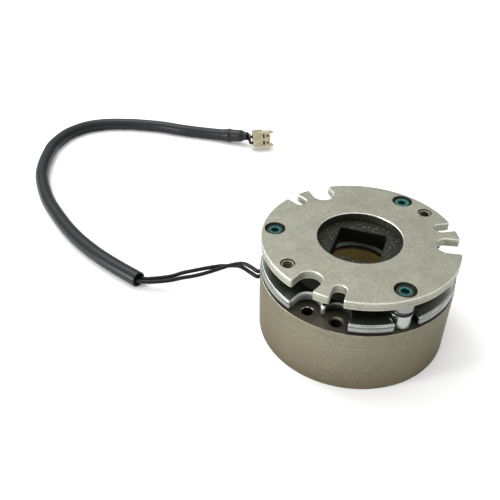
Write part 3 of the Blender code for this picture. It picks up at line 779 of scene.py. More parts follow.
class PlateSettings(PropertyGroup):
    edge: length("Edge", "Rounding of the side plate's upper rims", 0.00030)
    # The rims' colour is partly their wear and partly a painted highlight.
    rim_wear_and_highlight_colour: tint("Rim colour", "Colour of the worn rims", (0.70, 0.71, 0.62))
    colour: tint("Colour", "Colour of the side plate's finish", (0.300, 0.304, 0.240))
    roughness: share("Roughness", "Roughness of the side plate's finish", 0.42)


class ArmatureSettings(PropertyGroup):
    edge: length("Edge", "Rounding of the armature's upper rims", 0.00050)
    colour: tint("Colour", "Colour of the zinc plating", (0.255, 0.272, 0.260))
    roughness: share("Roughness", "Roughness of the zinc plating", 0.24)


class RotorSettings(PropertyGroup):
    edge: length("Edge", "Rounding of the friction rotor's rims", 0.00022)
    colour: tint("Colour", "Colour of the friction lining", (0.0170, 0.0170, 0.0125))
    speck_colour: tint("Speck colour", "Colour of the specks in the lining", (0.26, 0.26, 0.22))


class YokeSettings(PropertyGroup):
    edge: length("Edge", "Rounding of the yoke's rims", 0.00022)
    colour: tint("Colour", "Colour of the yoke's wall", (0.208, 0.192, 0.139))
    face_colour: tint("Face colour", "Colour of the pole face", (0.088, 0.080, 0.056))
    # The bore's colour, warmer and brighter than the wall, is painted bounce light.
    bore_bounce_light_colour: tint("Bore colour", "Colour of the shaft bore", (0.36, 0.27, 0.095))
    roughness: share("Roughness", "Roughness of the yoke's wall", 0.36)


class CoilSettings(PropertyGroup):
    copper: tint("Copper", "Colour of the winding", (0.60, 0.27, 0.13))
    resin: tint("Resin", "Colour of the potting ring", (0.20, 0.14, 0.05))
    bobbin: tint("Bobbin", "Colour of the bobbin", (0.05, 0.05, 0.05))


class HardwareSettings(PropertyGroup):
    steps: IntProperty(
        name="Steps", description="Facets round a spacer or screw", default=64, min=12, max=256
    )
    zinc: tint("Zinc", "Colour of the spacers", (0.40, 0.42, 0.405))
    screw: tint("Screw", "Colour of the screws", (0.014, 0.014, 0.013))
    paint: tint("Paint", "Colour of the seal paint on the screws", (0.012, 0.110, 0.095))
    spring: tint("Spring", "Colour of the torque springs", (0.50, 0.50, 0.51))


class CableSettings(PropertyGroup):
    wire_diameter: length("Wire diameter", "Diameter of each wire", 0.00125)
    sleeve_diameter: length("Sleeve diameter", "Outer diameter of the sleeve", 0.0049)
    sleeve_wall: length("Sleeve wall", "Wall thickness of the sleeve", 0.0006)
    shrink_diameter: length("Shrink tube diameter", "Outer diameter of the shrink tube", 0.0053)
    wire_colour: tint("Wire colour", "Colour of the wires", (0.007, 0.007, 0.007))
    sleeve_colour: tint("Sleeve colour", "Colour of the sleeve", (0.0085, 0.0100, 0.0112))
    shrink_colour: tint("Shrink tube colour", "Colour of the shrink tube", (0.0085, 0.0084, 0.0082))


class ConnectorSettings(PropertyGroup):
    edge: length("Edge", "Rounding of the housing's edges", 0.00015)
    colour: tint("Colour", "Colour of the housing", (0.37, 0.325, 0.21))
    terminal: tint("Terminals", "Colour of the terminals in the housing", (0.30, 0.17, 0.08))


class StageSettings(PropertyGroup):
    floor: tint("Floor", "Colour of the floor", (0.93, 0.93, 0.93))
    key: FloatProperty(
        name="Key light", description="Power of the key light", default=2.4, min=0.0, unit="POWER"
    )
    sky: FloatProperty(name="Sky", description="Strength of the light from all round", default=1.0, min=0.0)


# Pieces


def build_stage(settings):
    """The floor, the lights and the camera."""
    scene = bpy.context.scene
    scene.view_settings.view_transform = "Standard"
    floor = put("floor", box_mesh(FLOOR_SIZE), Matrix.Translation((0.0, 0.0, -FLOOR_DROP)))
    floor.data.materials.append(Recipe("floor_paper", settings.floor, 0.9).material)
    scene.world = bpy.data.worlds.new("studio")
    scene.world.use_nodes = True
    tree = scene.world.node_tree
    way = add_node(tree, "SeparateXYZ", {0: add_node(tree, "TexCoord").outputs["Generated"]})
    left, right = SKY_SIDES
    sides = {"Value": way.outputs["X"], "From Min": -1.0, "To Min": left, "To Max": right}
    across = add_node(tree, "MapRange", sides).outputs[0]
    level = add_ramp(tree, way.outputs["Z"], SKY_LEVELS)
    both = add_node(tree, "Math", {0: level, 1: across}, operation="MULTIPLY")
    strength = add_node(tree, "Math", {0: both.outputs[0], 1: settings.sky}, operation="MULTIPLY")
    background = tree.nodes["Background"]
    feed(tree, background.inputs["Strength"], strength.outputs[0])
    background.inputs["Color"].default_value = (1.0, 1.0, 1.0, 1.0)
    for name, place, aim, size, part in LIGHTS:
        lamp = bpy.data.lights.new(name, "AREA")
        lamp.size = size
        lamp.energy = settings.key * part
        light = bpy.data.objects.new(name, lamp)
        scene.collection.objects.link(light)
        light.location = place
        light.rotation_euler = (Vector(place) - Vector(aim)).to_track_quat("Z", "Y").to_euler()
    camera = bpy.data.objects.new("camera", bpy.data.cameras.new("camera"))
    scene.collection.objects.link(camera)
    camera.data.lens = CAMERA_LENS
    camera.data.sensor_width = CAMERA_SENSOR
    camera.data.clip_start = 0.005
    camera.matrix_world = Matrix.Translation(CAMERA_PLACE) @ Matrix(CAMERA_AXES).transposed().to_4x4()
    scene.camera = camera


def build_connector(settings, cable):
    """Two way crimp housing with its terminals and the short wires into it."""
    turn = Matrix.Rotation(math.radians(HOUSING_HEADING), 4, "Z")
    roll = Matrix.Rotation(math.radians(HOUSING_ROLL), 4, "X")
    place = Matrix.Translation(HOUSING_CENTRE) @ turn @ roll

    def at(x, y=0.0, z=0.0):
        return place @ Matrix.Translation((x, y, z))

    size = HOUSING_SIZE
    front, side, above = size / 2
    nylon = Recipe("connector_nylon", settings.colour, 0.42)
    nylon.grain(420.0, 0.78, 1.12, 3.0)
    nylon.give("Subsurface Weight", 0.12)
    nylon.give("Subsurface Scale", 0.0006)
    housing = put("housing", box_mesh(size), place)
    bevel(housing, settings.edge, 2)
    tools = [tool(box_mesh((MOUTH_DEPTH, size.y - 2 * MOUTH_RIM, size.z * 2)), at(front))]
    for across in WAYS:
        tools.append(tool(box_mesh((size.x * 2, CAVITY_SIDE, CAVITY_SIDE)), at(0.0, across)))
        tools.append(tool(box_mesh((*WINDOW_SIZE, size.z)), at(front - WINDOW_FROM_FRONT, across, above)))
        probe = rod([(PROBE_RADIUS, size.z), (PROBE_RADIUS, 0.0)], SMALL_HOLE_STEPS)
        tools.append(tool(probe, at(front - PROBE_FROM_FRONT, across)))
    for edge in (side, -side):
        tools.append(tool(box_mesh(PRONG_CUT), at(-front, edge, above)))
    finish_piece(housing, "connector_housing", [nylon], tools)
    rail_place = at(RAIL_SIZE[0] / 2 - front, side, RAIL_SIZE[2] / 2 - above)
    rail = put("housing_rail", box_mesh(RAIL_SIZE), rail_place)
    bevel(rail, settings.edge, 2)
    shaded = plain_plastic("connector_rail", shade(settings.colour, 0.62), 0.5)
    finish_piece(rail, None, [shaded])
    repaint(bright_edge("terminal_tin", settings.terminal, 0.35), *TERMINALS)
    insulation = plain_plastic("connector_wire", cable.wire_colour, 0.25, 0.00001)
    near_end, way = shrink_frame()
    axes = place.to_3x3()
    ahead = axes @ Vector((1.0, 0.0, 0.0))
    for number, across in enumerate(WAYS, start=1):
        sideways = axes @ Vector((0.0, across, 0.0))
        sideways -= way * sideways.dot(way)
        start = near_end + way * (SHRINK_LENGTH - TAIL_OVERLAP)
        start += sideways.normalized() * cable.wire_diameter * TAIL_SIDE
        rear = place @ Vector((-front, across * TAIL_INSET, 0.0))
        anchors = [start, start + way * TAIL_START, rear - ahead * TAIL_ENTRY, rear + ahead * TAIL_END]
        wire = hose(f"short_wire_{number}", smooth_route(anchors, TAIL_SPACING), cable.wire_diameter / 2)
        finish_piece(wire, f"connector_wire_{number}", [insulation], split=TUBE_SPLIT)


def build_cable(settings):
    """The two wires, the sleeve that they run in and the shrink tube on its end."""
    outlet = lead_place(YOKE_RADIUS - BUSH_RECESS).to_translation()
    inward = lead_place(0.0).to_3x3() @ Vector((0.0, 0.0, -1.0))
    insulation = plain_plastic("wire_insulation", settings.wire_colour, 0.3, 0.00001)
    insulation.give("Specular IOR Level", 0.15)
    for number, side in ((1, 1.0), (2, -1.0)):
        rise = Vector((0.0, 0.0, side * WIRE_SPREAD))
        anchors = [outlet + inward * WIRE_IN_BUSH + rise, outlet + rise]
        anchors += [Vector(place) + Vector(way) * WIRE_SPREAD * side for place, way in WIRE_ROUTE]
        route = smooth_route(anchors, WIRE_SPACING)
        wire = hose(f"wire_{number}", route, settings.wire_diameter / 2, steps=24)
        finish_piece(wire, f"lead_wire_{number}", [insulation], split=TUBE_SPLIT)
    vinyl = plain_plastic("sleeve_vinyl", settings.sleeve_colour, 0.38)
    vinyl.give("Specular IOR Level", 0.22)
    route = smooth_route(SLEEVE_ROUTE, SLEEVE_SPACING)
    outer = settings.sleeve_diameter / 2
    sleeve = hose("sleeve", route, outer, outer - settings.sleeve_wall, 40)
    finish_piece(sleeve, "lead_sleeve", [vinyl], split=TUBE_SPLIT)
    near_end, way = shrink_frame()
    radius = settings.shrink_diameter / 2
    last = SHRINK_LENGTH
    neck = TAIL_SPREAD + settings.wire_diameter / 2 + 0.0002
    profile = [
        (0.0, last - 0.0004, 0.0),
        (neck - 0.0003, last - 0.0004, 0.0001),
        (neck - 0.0002, last, 0.0001),
        (neck, last - 0.0002, 0.0001),
        (neck + 0.00005, last - SHRINK_NECK, 0.0006),
        (radius - 0.0001, last - SHRINK_NECK - SHRINK_TAPER, 0.0006),
        (radius - 0.00012, 0.0032, 0.0006),
        (radius + 0.00022, 0.0021, 0.0003),
        (radius + 0.00022, 0.0014, 0.0003),
        (radius - 0.00006, 0.0004, 0.0002),
        (radius - 0.00002, -0.0006, 0.00012),
        (radius - 0.0003, -0.0006, 0.0),
        (0.0, -0.0006, 0.0),
    ]
    place = Matrix.Translation(near_end) @ way.to_track_quat("Z", "Y").to_matrix().to_4x4()
    shrink = put("shrink", rod(filleted(profile, 4, closed=False)), place)
    tubing = plain_plastic("shrink_tubing", settings.shrink_colour, 0.38)
    finish_piece(shrink, "shrink_tube", [tubing], split=TUBE_SPLIT)
    names = ("short_wire_1", "short_wire_2", "housing", "housing_rail")
    on_it = [shrink, *(bpy.data.objects[name] for name in names)]
    on_it += [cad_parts[name] for name in TERMINALS]


def build_bush(settings):
    """Rubber bush in the yoke's lead hole, with a hole for each wire."""
    profile = [
        (0.0, 0.0, 0.0),
        (BUSH_RADIUS, 0.0, 0.0003),
        (BUSH_RADIUS, -BUSH_DEPTH, 0.0),
        (0.0, -BUSH_DEPTH, 0.0),
    ]
    place = lead_place(YOKE_RADIUS - BUSH_RECESS)
    bush = put("bush", rod(filleted(profile, 4, closed=False)), place)
    sections = [(settings.wire_diameter / 2, height) for height in WIRE_HOLE_ENDS]
    tools = []
    for across in (WIRE_SPREAD, -WIRE_SPREAD):
        tools.append(tool(rod(sections, SMALL_HOLE_STEPS), place @ Matrix.Translation((across, 0.0, 0.0))))
    rubber = plain_plastic("bush_rubber", (0.02, 0.02, 0.02), 0.6)
    finish_piece(bush, "lead_bush", [rubber], tools)


def build_side_plate(settings):
    """Stamped plate with mounting notches, slots, tapped release holes and countersinks."""
    colour = tuple(settings.colour)
    face = satin_steel("plate_face", colour, settings.roughness, 0.7)
    face.spots(face.specks(170.0), [(0.0, 0.8), (0.055, 0.0)], (0.12, 0.10, 0.08))
    face.spots(face.noise(260.0, 3.0), [(0.66, 0.0), (0.74, 0.45)], (0.36, 0.27, 0.20))
    # Upper rims: the steel painted brighter, partly wear and partly painted highlight.
    rim = bright_edge("plate_rim", settings.rim_wear_and_highlight_colour, 0.32)
    wall = satin_steel("plate_wall", colour, 0.45, 0.5)
    # Side wall by height: brighter at the foot is a painted highlight; it is also darker in a line a third of
    # the way up and just under the rim.
    lower = [(0.0, 1.5), (0.05, 1.2), (0.09, 0.95), (0.31, 0.95)]
    upper = [(0.35, 0.6), (0.39, 1.0), (0.84, 1.05), (0.92, 0.6)]
    wall.bands(wall.height(PLATE_BASE, PLATE_TOP), lower + upper)
    # Countersink walls painted near black: painted shade.
    countersink_shade = bright_edge("countersink", (0.014, 0.016, 0.011), 0.5)
    # Thread crests painted bright and valleys near black: painted highlight and painted shade on the same
    # steel.
    crest = bright_edge("thread_crest", (0.90, 0.88, 0.76), 0.4)
    valley_shade = bright_edge("thread_valley", (0.035, 0.035, 0.026), 0.5)
    # Bore wall: a darker copy of the plate's colour, painted shade.
    bore_wall_shade = bright_edge("plate_bore", shade(colour, 0.24), 0.5)
    openings = []
    for mount, slot in zip(copies_of(MOUNT_ANGLE), copies_of(SLOT_ANGLE)):
        openings.append(notch(mount, MOUNT_NOTCH_HALF, PLATE_RADIUS))
        openings.append(notch(slot, PLATE_SLOT_HALF, PLATE_RADIUS))
    outlines = [rim_outline(PLATE_RADIUS, openings), circle(PLATE_BORE_RADIUS)]
    plate = put("plate", flat_mesh(outlines, PLATE_BASE, PLATE_TOP))
    round_rims(plate, settings.edge, 4)
    sections = thread_sections(RELEASE_TAP_RADIUS, RELEASE_TAP_PITCH, PLATE_TOP, PLATE_BASE)
    tools = [drill(angle, sections) for angle in RELEASE_ANGLES]
    sections = [
        (COUNTERSINK_RADIUS, PLATE_TOP + CLEAR),
        (COUNTERSINK_RADIUS, PLATE_TOP),
        (SCREW_CLEARANCE_RADIUS, PLATE_TOP - (COUNTERSINK_RADIUS - SCREW_CLEARANCE_RADIUS)),
        (SCREW_CLEARANCE_RADIUS, PLATE_BASE - CLEAR),
    ]
    tools += [drill(angle, sections, SINK_STEPS) for angle in copies_of(SPACER_ANGLE)]

    def rule(centre, normal):
        if near(centre, RELEASE_ANGLES, TAP_MOUTH_RADIUS + MARGIN) and normal.z < 0.9:
            in_turns = near(centre, RELEASE_ANGLES, RELEASE_TAP_RADIUS + THREAD_DEPTH)
            return crest if normal.z > 0.3 and in_turns else valley_shade
        if near(centre, copies_of(SPACER_ANGLE), COUNTERSINK_RADIUS + MARGIN) and normal.z < 0.9:
            return countersink_shade
        if normal.z > 0.96 or normal.z < -0.9:
            return face
        if centre.z > PLATE_TOP - settings.edge and normal.z > UPWARD:
            return rim
        return bore_wall_shade if centre.xy.length < PLATE_BORE_RADIUS + 2 * MARGIN else wall

    materials = [face, rim, wall, countersink_shade, bore_wall_shade, crest, valley_shade]
    finish_piece(plate, "side_plate", materials, tools, rule)


def build_armature(settings):
    """Stamped ring with notches for the spacers and wide scalloped cut-outs."""
    colour = tuple(settings.colour)
    rough = settings.roughness
    span = (ARMATURE_BASE, ARMATURE_TOP)
    # Top face: darker towards the bore and lighter towards the rim, painted shade under the side plate and
    # painted reflection near the rim.
    face = Recipe("armature_face", shade(colour, 1.25), rough + 0.06, 1.0)
    face.grain(120.0, 0.85, 1.1)
    face.bands(face.radius(0.019, ARMATURE_RADIUS), [(0.0, 0.45), (0.55, 0.55), (0.9, 1.3)])
    # Rounded outer rim: a brighter copy of the zinc, painted highlight.
    rim = zinc_plating("armature_rim", shade(colour, 1.5), rough)
    rim.grain(260.0, 0.7, 1.15)
    # Bore wall: a light band in its lower half between dark bands, painted highlight and painted shade.
    bore = plain_plastic("armature_bore", (0.21, 0.24, 0.235), 0.3)
    bore.bands(bore.height(*span), [(0.10, 0.05), (0.16, 1.3), (0.58, 0.9), (0.66, 0.05)])
    # Outer wall by height: near black at the foot, painted shade in the gap above the yoke; darker again in a
    # line just below the rounding.
    wall = zinc_plating("armature_wall", colour, rough + 0.08)
    wall.grain(170.0, 0.65, 1.1)
    lower = [(0.0, 0.02), (0.16, 0.03), (0.22, 0.8), (0.34, 1.1), (0.60, 1.2)]
    upper = [(0.64, 0.30), (0.70, 0.30), (0.74, 1.1)]
    wall.bands(wall.height(*span), lower + upper)
    # Cut-out walls: a darker copy of the zinc, darker still towards the foot, painted shade.
    inner = zinc_plating("armature_cut", shade(colour, 0.6), rough + 0.12)
    inner.bands(inner.height(*span), [(0.1, 0.15), (0.7, 1.0)])
    # Rims of the cut-outs: a darker copy of the zinc, painted shade.
    shaded_cut_rim = zinc_plating("armature_cut_rim", shade(colour, 0.8), rough + 0.06)
    # Nose between the scallops: a much brighter copy of the zinc, painted highlight.
    nose = zinc_plating("armature_nose", shade(colour, 3.2), rough + 0.1)
    # Walls of the open scallops: a brighter copy of the zinc, dark at the foot and brightest at the top,
    # painted shade and painted highlight.
    lit = Recipe("armature_scallop", shade(colour, 1.5), 0.3, 0.4)
    lit.grain(260.0, 0.75, 1.1)
    lit.bands(lit.height(*span), [(0.10, 0.05), (0.20, 0.55), (0.60, 0.8), (0.75, 1.2), (0.95, 1.6)])
    openings = []
    for mount, spacer in zip(copies_of(MOUNT_ANGLE), copies_of(SPACER_ANGLE)):
        openings.append(double_scallop(mount, SLOT_ANGLE - MOUNT_ANGLE, ARMATURE_NOTCH_HALF, ARMATURE_RADIUS))
        openings.append(notch(spacer, ARMATURE_NOTCH_HALF, ARMATURE_RADIUS))
    outlines = [rim_outline(ARMATURE_RADIUS, openings), circle(SHAFT_BORE_RADIUS)]
    armature = put("armature", flat_mesh(outlines, *span, both_faces=True))
    round_rims(armature, settings.edge, 5)

    def rule(centre, normal):
        if abs(normal.z) > 0.97:
            return face
        if centre.xy.length < SHAFT_BORE_RADIUS + 2 * MARGIN:
            return bore
        if near(centre, copies_of((MOUNT_ANGLE + SLOT_ANGLE) / 2), NOSE_REACH):
            return nose
        if centre.xy.length > ARMATURE_RADIUS - settings.edge:
            return rim if normal.z > UPWARD else wall
        if near(centre, copies_of(MOUNT_ANGLE), ARMATURE_NOTCH_HALF + settings.edge + MARGIN):
            return lit
        return shaded_cut_rim if normal.z > UPWARD else inner

    materials = [face, rim, wall, bore, inner, shaded_cut_rim, nose, lit]
    finish_piece(armature, "armature_plate", materials, rule=rule, body="armature")


def build_rotor(settings):
    """Moulded friction disc with a square bore."""
    lining = Recipe("friction_lining", settings.colour, 0.85)
    lining.give("Specular IOR Level", 0.2)
    field = lining.grain(1300.0, 0.45, 1.8, 6.0)
    lining.spots(lining.specks(1700.0), [(0.0, 1.0), (0.26, 0.0)], shade(settings.speck_colour, 0.3))
    lining.spots(lining.specks(950.0), [(0.0, 1.0), (0.22, 0.0)], tuple(settings.speck_colour))
    lining.bump(field, 0.00006, 0.6)
    # Side walls: a darker copy of the lining, painted shade.
    wall = plain_plastic("lining_wall", shade(settings.colour, 0.3), 0.7)
    wall.give("Specular IOR Level", 0.1)
    outlines = [circle(ROTOR_RADIUS), rounded_square(ROTOR_SQUARE, ROTOR_SQUARE_CORNER, ROTOR_TURN)]
    rotor = put("rotor", flat_mesh(outlines, ROTOR_BASE, ROTOR_TOP, both_faces=True))
    round_rims(rotor, settings.edge, 3)

    def rule(centre, normal):
        return lining if abs(normal.z) > 0.5 else wall

    finish_piece(rotor, "friction_rotor", [lining, wall], rule=rule, body="rotor")


def build_yoke(settings):
    """Turned cup with a centre pole, a coil slot and the holes of the pattern."""
    wall = satin_steel("yoke_wall", settings.colour, settings.roughness, 0.75, 0.3)
    wall.give("Specular Tint", (0.5, 0.48, 0.42, 1.0))
    wall.give("Anisotropic", 0.75)
    wall.give("Tangent", wall.node("Tangent", direction_type="RADIAL", axis="Z").outputs[0])
    wall.grain(1.0, 0.93, 1.06, 3.0, (60.0, 60.0, 2600.0))
    # Wall darker and browner towards the floor: painted shade.
    foot_shade = [(0.0, (0.76, 0.70, 0.64)), (0.30, (0.92, 0.88, 0.86)), (0.7, 1.0)]
    wall.bands(wall.height(0.0, YOKE_TOP), foot_shade)
    # Top rim: brighter than the wall, a painted highlight; the dark spots are nicks.
    edge = bright_edge("yoke_edge", (0.46, 0.43, 0.36), 0.35)
    edge.spots(edge.noise(160.0, 6.0), [(0.46, 0.0), (0.54, 0.8)], (0.20, 0.18, 0.15))
    face = satin_steel("yoke_face", settings.face_colour, 0.42, 0.5)
    face.spots(face.noise(70.0, 3.0), [(0.50, 0.0), (0.68, 0.5)], (0.085, 0.062, 0.085))
    # Shaft bore: warm and brighter than the wall, painted bounce light; near black at its top lip, painted
    # shade.
    bore = satin_steel("yoke_bore", settings.bore_bounce_light_colour, 0.35, 0.2)
    bore.bands(bore.height(0.0, YOKE_TOP), [(0.97, 1.0), (0.99, 0.15)])
    # Mounting hole rims: dark with broken bright arcs, painted shade and painted glints.
    rim = bright_edge("hole_rim", (0.12, 0.115, 0.095), 0.35)
    rim.spots(rim.noise(420.0, 3.0), [(0.50, 0.0), (0.54, 1.0)], (0.85, 0.84, 0.78))
    tapped = bright_edge("tap_rim", (0.17, 0.155, 0.11), 0.4)
    # Insides of the mounting holes and tapped holes, near black: painted shade.
    hollow = bright_edge("tap_thread", (0.045, 0.034, 0.026), 0.5)
    e = settings.edge
    profile = [
        (YOKE_RADIUS, YOKE_TOP, e),
        (YOKE_RADIUS, YOKE_BASE, e),
        (SHAFT_BORE_RADIUS, YOKE_BASE, e),
        (SHAFT_BORE_RADIUS, YOKE_TOP, e),
        (SLOT_INNER_RADIUS, YOKE_TOP, 0.0001),
        (SLOT_INNER_RADIUS, SLOT_FLOOR, 0.0),
        (SLOT_OUTER_RADIUS, SLOT_FLOOR, 0.0),
        (SLOT_OUTER_RADIUS, YOKE_TOP, 0.0001),
    ]
    yoke = put("yoke", lathe(filleted(profile, 4), ROUND_STEPS))
    mouth = MOUNT_HOLE_RADIUS + MOUNT_CHAMFER
    sections = [
        (mouth, YOKE_TOP + CLEAR),
        (mouth, YOKE_TOP),
        (MOUNT_HOLE_RADIUS, YOKE_TOP - MOUNT_CHAMFER),
        (MOUNT_HOLE_RADIUS, YOKE_BASE - CLEAR),
    ]
    tools = [drill(angle, sections) for angle in copies_of(MOUNT_ANGLE)]
    sections = thread_sections(TAP_RADIUS, TAP_PITCH, YOKE_TOP, YOKE_TOP - TAP_DEPTH)
    tools += [drill(angle, sections) for angle in copies_of(SLOT_ANGLE)]
    thread = SCREW_RADIUS + MARGIN
    sections = [(thread, YOKE_TOP + CLEAR), (thread, SCREW_TIP - SCREW_HOLE_SPARE)]
    tools += [drill(angle, sections) for angle in copies_of(SPACER_ANGLE)]
    pocket_floor = YOKE_TOP - SPRING_POCKET_DEPTH
    sections = [(SPRING_POCKET_RADIUS, YOKE_TOP + CLEAR), (SPRING_POCKET_RADIUS, pocket_floor)]
    tools += [drill(place, sections) for angle in SPRING_ANGLES for place in copies_of(angle)]
    sections = [
        (LEAD_HOLE_RADIUS + LEAD_CHAMFER, CLEAR),
        (LEAD_HOLE_RADIUS + LEAD_CHAMFER, 0.0),
        (LEAD_HOLE_RADIUS, -LEAD_CHAMFER),
        (LEAD_HOLE_RADIUS, SLOT_OUTER_RADIUS - YOKE_RADIUS - LEAD_HOLE_SPARE),
    ]
    tools.append(tool(rod(sections), lead_place(YOKE_RADIUS)))

    def rule(centre, normal):
        radius = centre.xy.length
        if radius > YOKE_RADIUS - MARGIN / 2:
            return wall
        if radius > YOKE_RADIUS - e and UPWARD < abs(normal.z) < 0.99:
            return edge
        if near(centre, copies_of(MOUNT_ANGLE), mouth + MARGIN / 2) and normal.z < 0.98:
            return rim if centre.z > YOKE_TOP - 4 * MARGIN else hollow
        if near(centre, copies_of(SLOT_ANGLE), TAP_MOUTH_RADIUS + MARGIN / 2) and normal.z < 0.98:
            return tapped if centre.z > YOKE_TOP - (TAP_MOUTH_RADIUS - TAP_RADIUS - THREAD_DEPTH) else hollow
        if radius < SHAFT_BORE_RADIUS + e and abs(normal.z) < 0.99:
            return bore
        return wall if centre.z < YOKE_BASE + MARGIN else face

    materials = [wall, edge, face, bore, rim, tapped, hollow]
    finish_piece(yoke, "stator_yoke", materials, tools, rule)


def build_coil(settings):
    """Finishes of the bobbin, the winding and the potting ring."""
    copper = Recipe("copper_winding", settings.copper, 0.3, 0.9)
    copper.bump(copper.grain(1.0, 0.6, 1.15, 2.0, (20.0, 20.0, 4000.0)), 0.00005)
    repaint(copper, "coil_winding")
    repaint(plain_plastic("bobbin_plastic", settings.bobbin, 0.5), "coil_bobbin")
    repaint(plain_plastic("potting_resin", settings.resin, 0.3), "coil_potting")


def build_springs(settings):
    """Torque springs in the yoke's pockets; the real ones shorten as the armature comes down on them, these
    are built at one length.
    """
    steel = bright_edge("spring_steel", settings.spring, 0.28)
    low, high = heights("torque_spring_1")
    centres = [around(place) for angle in SPRING_ANGLES for place in copies_of(angle)]
    steps = round(SPRING_TURNS * SPRING_TURN_STEPS)
    for number, centre in enumerate(centres, start=1):
        points = []
        for k in range(steps + 1):
            turned = SPRING_TURNS * k / steps
            risen = (turned - SPRING_REST_TURNS) / (SPRING_TURNS - 2 * SPRING_REST_TURNS)
            rise = low + SPRING_WIRE / 2 + (high - low - SPRING_WIRE) * min(max(risen, 0.0), 1.0)
            turn = Matrix.Rotation(math.tau * turned, 4, "Z")
            points.append((centre @ turn @ Matrix.Translation((SPRING_RADIUS, 0.0, rise))).to_translation())
        spring = hose(f"spring_{number}", points, SPRING_WIRE / 2, steps=10)
        finish_piece(spring, f"torque_spring_{number}", [steel], split=TUBE_SPLIT)
        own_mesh(spring)


def build_spacers(settings):
    """Grooved tubular spacers between the yoke and the side plate."""
    zinc = zinc_plating("spacer_zinc", settings.zinc, 0.26)
    # Spacer darker towards its top, under the side plate: painted shade.
    zinc.bands(zinc.height(SPACER_BASE, SPACER_TOP), [(0.5, 1.0), (0.75, 0.6)])
    # Groove painted dark grey: painted shade.
    groove_shade = bright_edge("spacer_groove", (0.10, 0.10, 0.10), 0.4)
    low, high = (YOKE_TOP + height for height in SPACER_GROOVE)
    profile = [
        (SPACER_RADIUS, SPACER_TOP, 0.0002),
        (SPACER_RADIUS, high, 0.0001),
        (SPACER_GROOVE_RADIUS, high, 0.0002),
        (SPACER_GROOVE_RADIUS, low, 0.0002),
        (SPACER_RADIUS, low, 0.0001),
        (SPACER_RADIUS, SPACER_BASE, 0.0002),
        (SCREW_CLEARANCE_RADIUS, SPACER_BASE, 0.0),
        (SCREW_CLEARANCE_RADIUS, SPACER_TOP, 0.0),
    ]

    def rule(centre, normal):
        in_groove = low < centre.z < high and centre.xy.length < SPACER_GROOVE_RADIUS + 2 * MARGIN
        return groove_shade if in_groove else zinc

    for number, angle in enumerate(copies_of(SPACER_ANGLE), start=1):
        post = put(f"post_{number}", lathe(filleted(profile), settings.steps), around(angle))
        finish_piece(post, f"spacer_{number}", [zinc, groove_shade], rule=rule)


def build_screws(settings):
    """Countersunk socket screws with seal paint round their sockets."""
    black = bright_edge("screw_black", settings.screw, 0.32)
    black.give("Metallic", 0.4)
    paint = plain_plastic("seal_paint", settings.paint, 0.35)
    # Seal paint down in the socket: a darker copy, painted shade.
    shaded_socket_paint = plain_plastic("socket_paint", shade(settings.paint, 0.3), 0.35)
    land = SCREW_TOP - SCREW_HEAD_LAND
    across = HEX_FLATS / 2 / math.cos(math.pi / 6)
    socket = [
        (across + HEX_CHAMFER, SCREW_TOP + MARGIN),
        (across + HEX_CHAMFER, SCREW_TOP),
        (across, SCREW_TOP - HEX_CHAMFER),
        (across, SCREW_TOP - HEX_DEPTH),
    ]
    for number, (angle, painted) in enumerate(zip(copies_of(SPACER_ANGLE), PAINT_RADII), start=1):
        profile = [
            (0.0, SCREW_TOP, 0.0),
            (painted, SCREW_TOP, 0.0),
            (SCREW_HEAD_RADIUS, SCREW_TOP, 0.0001),
            (SCREW_HEAD_RADIUS, land, 0.0),
            (SCREW_RADIUS, land - (SCREW_HEAD_RADIUS - SCREW_RADIUS), 0.0),
            (SCREW_RADIUS, SCREW_TIP + 0.0002, 0.0),
            (SCREW_RADIUS - 0.0002, SCREW_TIP, 0.0),
            (0.0, SCREW_TIP, 0.0),
        ]
        place = around(angle)
        screw = put(f"screw_{number}", rod(filleted(profile, closed=False), settings.steps), place)

        def rule(centre, normal, painted=painted):
            if centre.xy.length > painted or centre.z < SCREW_TOP - HEX_DEPTH - MARGIN:
                return black
            return paint if centre.z > SCREW_TOP - 2 * MARGIN else shaded_socket_paint

        tools = [tool(rod(socket, 6), place)]
        finish_piece(screw, f"spacer_screw_{number}", [black, paint, shaded_socket_paint], tools, rule)


# Add-on


class BRAKE_OT_stage(Operator):
    """Sets up the floor, the lights and the camera"""

    bl_idname = "brake.stage"
    bl_label = "Stage"

    def execute(self, context):
        build_stage(context.scene.brake_stage)
        return {"FINISHED"}


class BRAKE_OT_connector(Operator):
    """Builds the connector on the end of the lead"""

    bl_idname = "brake.connector"
    bl_label = "Connector"

    def execute(self, context):
        build_connector(context.scene.brake_connector, context.scene.brake_cable)
        return {"FINISHED"}


class BRAKE_OT_cable(Operator):
    """Builds the wires, their sleeve and the shrink tube, after the connector"""

    bl_idname = "brake.cable"
    bl_label = "Cable"

    def execute(self, context):
        build_cable(context.scene.brake_cable)
        return {"FINISHED"}


class BRAKE_OT_bush(Operator):
    """Builds the rubber bush in the lead hole"""

    bl_idname = "brake.bush"
    bl_label = "Bush"

    def execute(self, context):
        build_bush(context.scene.brake_cable)
        return {"FINISHED"}


class BRAKE_OT_side_plate(Operator):
    """Builds the side plate"""

    bl_idname = "brake.side_plate"
    bl_label = "Side plate"

    def execute(self, context):
        build_side_plate(context.scene.brake_plate)
        return {"FINISHED"}


class BRAKE_OT_armature(Operator):
    """Builds the armature plate"""

    bl_idname = "brake.armature"
    bl_label = "Armature plate"

    def execute(self, context):
        build_armature(context.scene.brake_armature)
        return {"FINISHED"}


class BRAKE_OT_rotor(Operator):
    """Builds the friction rotor"""

    bl_idname = "brake.rotor"
    bl_label = "Friction rotor"

    def execute(self, context):
        build_rotor(context.scene.brake_rotor)
        return {"FINISHED"}


